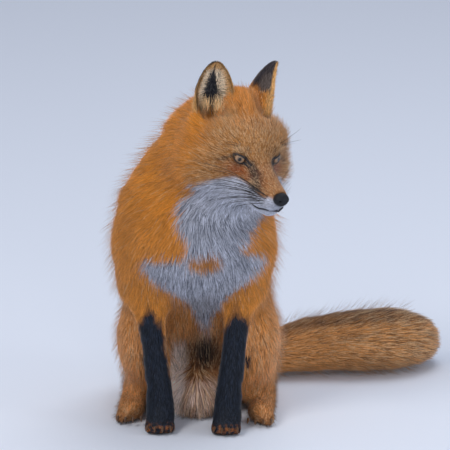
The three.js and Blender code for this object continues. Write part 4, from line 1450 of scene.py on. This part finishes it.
head_faces = among(face_region, "head") & (skin_faces[:, 0] < body_count)
is_trunk = among(face_region, "trunk")
is_front = is_trunk & (fox_centre[:, 1] < CHEST_BACK) & (fox_centre[:, 2] > CHEST_FOOT)
fuzzy = head_faces & (half_centre[:, 0] > CHEEK_OUT) & (forward > FUZZY_CHEEK[0]) & (forward < FUZZY_CHEEK[1])
fuzzy = fuzzy & (np.linalg.norm(half_centre - EYE_HALF, axis=1) > EYE_CLEARANCE)
round_ears = head_faces & (np.linalg.norm(half_centre - COLLAR_CENTRE, axis=1) < COLLAR_RADIUS)
fringed = among(face_region, "neck", "trunk", *HINDLEGS, "tail_root", "tail_middle")
fringed = fringed | (head_faces & (forward < FRINGE_FORWARD))
bare = in_eyes | ~off_nose | ~off_lips
for name, chosen, count, up_axis, looks in (  # faces, tufts, axis of the unwrap's roll, and looks
    ("coat_face", head_faces & (forward > CROWN_TO_FACE) & ~bare, 33000, 1, {"gather": 0.2}),
    ("coat_crown", head_faces & (forward <= CROWN_TO_FACE), 20500, 1, {"gather": 0.22}),
    ("coat_neck", among(face_region, "neck"), 12500, 2, {}),
    ("coat_chest", is_front, 22500, 2, {"gather": 0.25}),
    ("coat_back_right", is_trunk & ~is_front & on_right, 16500, 2, {}),
    ("coat_back_left", is_trunk & ~is_front & ~on_right, 15500, 2, {}),
    ("coat_forelegs", among(face_region, *FORELEGS), 18500, 2, {}),
    ("coat_haunch_right", among(face_region, "hindleg_right"), 20000, 2, {}),
    ("coat_haunch_left", among(face_region, "hindleg_left"), 20000, 2, {}),
    ("coat_tail", among(face_region, *TAIL), 20000, 0, {}),
    ("coat_fringe", fringed, 20500, 2, GUARD_HAIRS),
    ("coat_cheek_fuzz", fuzzy, 3500, 1, CHEEK_FUZZ),
    ("coat_ear_collar", round_ears, 3500, 1, EAR_COLLAR),
):
    rooted(name, chosen, count, up_axis, **looks)


# ---- Hair of the ears ----------------------------------------------------
# Short flat hair on the backs, a thick rim of it along the edges, and long pale hair that stands out of the
# hollow on both sides of its dark middle.

# The wall (0 the back, 1 the hollow), how many tufts, across the sheet from and to, up it from and to, their
# length and width in mm, their lift in degrees, the share outwards, and whether they lie like a star.
EAR_HAIR = (
    (0, 3300, 0.0, 0.98, 0.04, 0.97, 7, 0.65, 18, 0.0, 0),
    (0, 800, 0.5, 1.0, 0.0, 0.4, 15, 0.6, 26, 0.0, 0),
    (0, 700, 0.8, 1.0, 0.15, 0.99, 6, 0.6, 24, 0.3, 0),
    (1, 1100, 0.72, 0.97, 0.12, 0.97, 8, 0.65, 26, 0.25, 0),
    (1, 700, 0.0, 0.8, 0.8, 0.97, 8, 0.65, 26, 0.2, 0),
    (1, 1700, 0.12, 0.5, 0.36, 0.84, 15, 0.55, 34, 1.0, 1),
    (1, 1100, 0.4, 0.8, 0.3, 0.84, 11, 0.55, 30, 1.0, 1),
    (1, 1200, 0.0, 0.95, -0.06, 0.28, 29, 0.6, 30, 0.12, 0),
    (1, 500, 0.0, 0.24, 0.3, 0.8, 7, 0.6, 16, 0.1, 0),
)
SHEET_STEP = 0.02  # of the sheet, between the places that give its directions


def ear_hair(side, wall, count, edge_low, edge_high, up_low, up_high, length, width, lift, out, star):
    """Tufts rooted on one wall of an ear. They lie up the ear and out towards the nearer edge by a share, or
    like a star's rays: up near the tip, outwards in the middle and a little down below."""
    across = random.uniform(edge_low, edge_high, count) * random.choice((-1, 1), count)
    up = random.uniform(up_low, up_high, count)
    length = length * random.uniform(0.6, 1.1, count)
    width = width * random.uniform(0.7, 1.2, count)
    lift = lift * random.uniform(0.5, 1.4, count)
    inset = ear_inset(across, up, "inner" if wall else "outer")
    root = ear_sheet(across, up, inset, side)
    rise = ear_sheet(across, up + SHEET_STEP, inset, side) - root
    along = ear_sheet(across + SHEET_STEP, up, inset, side) - root
    outward = root - ear_sheet(across, up, inset + 6, side)
    normal = unit(np.cross(along, rise))
    normal = normal * np.sign((normal * outward).sum(1) * (0.5 - wall))[:, None]
    fork = random.normal(0, 0.2, count)
    climb = np.clip(3.2 * (up - 0.52), -0.4, 1.2) if star else np.ones(count)
    flow = climb[:, None] * unit(rise) + (out * np.sign(across) + fork)[:, None] * unit(along)
    colour, grizzle = ear_markings(across, up, np.full(count, float(wall)), SIDES[side])
    colour = varied(colour, grizzle, np.zeros(count), random.random(count))
    quarter = 0.5 * np.array([side == "left", wall])
    patch = quarter + 0.01 + 0.48 * np.stack([(across + 1) / 2, np.clip(up, 0, 1)], 1)
    return root, normal, tangent(flow, normal), length * MM, width * MM, np.radians(lift), colour, patch


for side in SIDES:
    parts = [ear_hair(side, *row) for row in EAR_HAIR]
    tufts("coat_ear_" + side, *(np.concatenate(column) for column in zip(*parts)), gather=0)


# ---- Whiskers ------------------------------------------------------------
# Long dark bristles in four rows on each side of the muzzle, swept back over the cheek, each out of a dark
# spot, and a few above each eye.

WHISKER_POINTS = 14
WHISKER_RADIUS = {"right": 0.58, "left": 0.3}  # mm
STUB_RADIUS = 0.95  # of the dark spot that a whisker stands in
BROW_RADIUS = 0.4
BROW_BRISTLES = ((0.75, -0.15, 0.65, 42), (0.9, -0.2, 0.35, 38), (0.95, 0.1, 0.1, 34))  # direction and length
grow = np.linspace(0, 1, WHISKER_POINTS)[:, None]
bristles = []


def add_bristle(side, root, ahead, path, sunk, radius, taper):
    """A bristle that stands in the skin, sunk along its first direction, and tapers by a share to its tip."""
    mirror = np.array([SIDES[side], 1, 1])
    bristles.append((root + mirror * (path - sunk * ahead), radius * (1 - taper * grow[:, 0])))


def swept(ahead, later, reach):
    """A curve that starts in one direction and turns steadily to the other."""
    return reach * (ahead * (grow - 0.5 * grow**2) + later * 0.5 * grow**2)


for side in SIDES:
    for row in range(4):
        for place in range(5 - row % 2):
            forward_at = WHISKER_FORWARD - WHISKER_STEP * place - 2 * row
            height = WHISKER_HEIGHT - WHISKER_ROW * row - WHISKER_FALL * (forward_at - 100)
            root = on_face_at(side, forward_at, height)
            ahead = np.array([0.8, 0.6 - 0.03 * place, 0.34 - 0.16 * row + 0.05 * place])
            ahead = unit(ahead + random.normal(0, 0.05, 3))
            later = unit(np.array([0.6, 0.8, -0.2 - 0.16 * row]))
            reach = (46 + 9 * place) * random.uniform(0.85, 1.15)
            add_bristle(side, root, ahead, swept(ahead, later, reach), 1.0, WHISKER_RADIUS[side], 0.65)
            add_bristle(side, root, ahead, ahead * (0.5 + 4.5 * grow), 2.0, STUB_RADIUS, 0.7)
    for *way, reach in BROW_BRISTLES:
        root = on_face_at(side, 56, 17 + 3 * way[2])
        ahead = unit(np.array(way))
        later = unit(ahead + (0, 0.5, -0.35))
        add_bristle(side, root, ahead, swept(ahead, later, reach), 1.0, BROW_RADIUS, 0.75)


def bristle_material():
    """Dark horn that pales a little from place to place."""
    material, shader = finish("bristle", {"Roughness": 0.4})
    tree = material.node_tree
    patches = noise(tree, object_place(tree), 120.0, 2.0)
    fed(shader, {"Base Color": blended(tree, patches, (0.006, 0.005, 0.005, 1), (0.03, 0.024, 0.02, 1))})
    return material


paths, radii = (np.array(column) for column in zip(*bristles))
whisker_piece = piece_of("whiskers", *strands(from_head(paths), MM * radii), bristle_material())
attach(whisker_piece, "root")


# ---- Claws ---------------------------------------------------------------
# Brown horn, with fine growth lines along each claw, darker and lighter by turns. The solids stay as they
# are.


def horn_material():
    """Horn whose colour and bump follow noise that is drawn out along the claws."""
    material, shader = finish("horn", {"Coat Weight": 0.2})
    tree = material.node_tree
    place = object_place(tree)
    lines = noise(tree, stretched(tree, place, (1.0, 0.25, 1.0)), 900.0, 3.0)
    relief = added(tree, "ShaderNodeBump", {"Height": lines, "Strength": 0.3, "Distance": 0.0003})
    fed(shader, {
        "Base Color": blended(tree, lines, (0.045, 0.022, 0.012, 1), (0.17, 0.085, 0.04, 1)),
        "Roughness": ranged(tree, noise(tree, place, 90.0, 2.0), 0.3, 0.5),
        "Normal": relief.outputs[0],
    })
    return material


horn = horn_material()
for name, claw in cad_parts.items():
    if name.startswith("claw_"):
        for slot in claw.material_slots:
            slot.material = horn
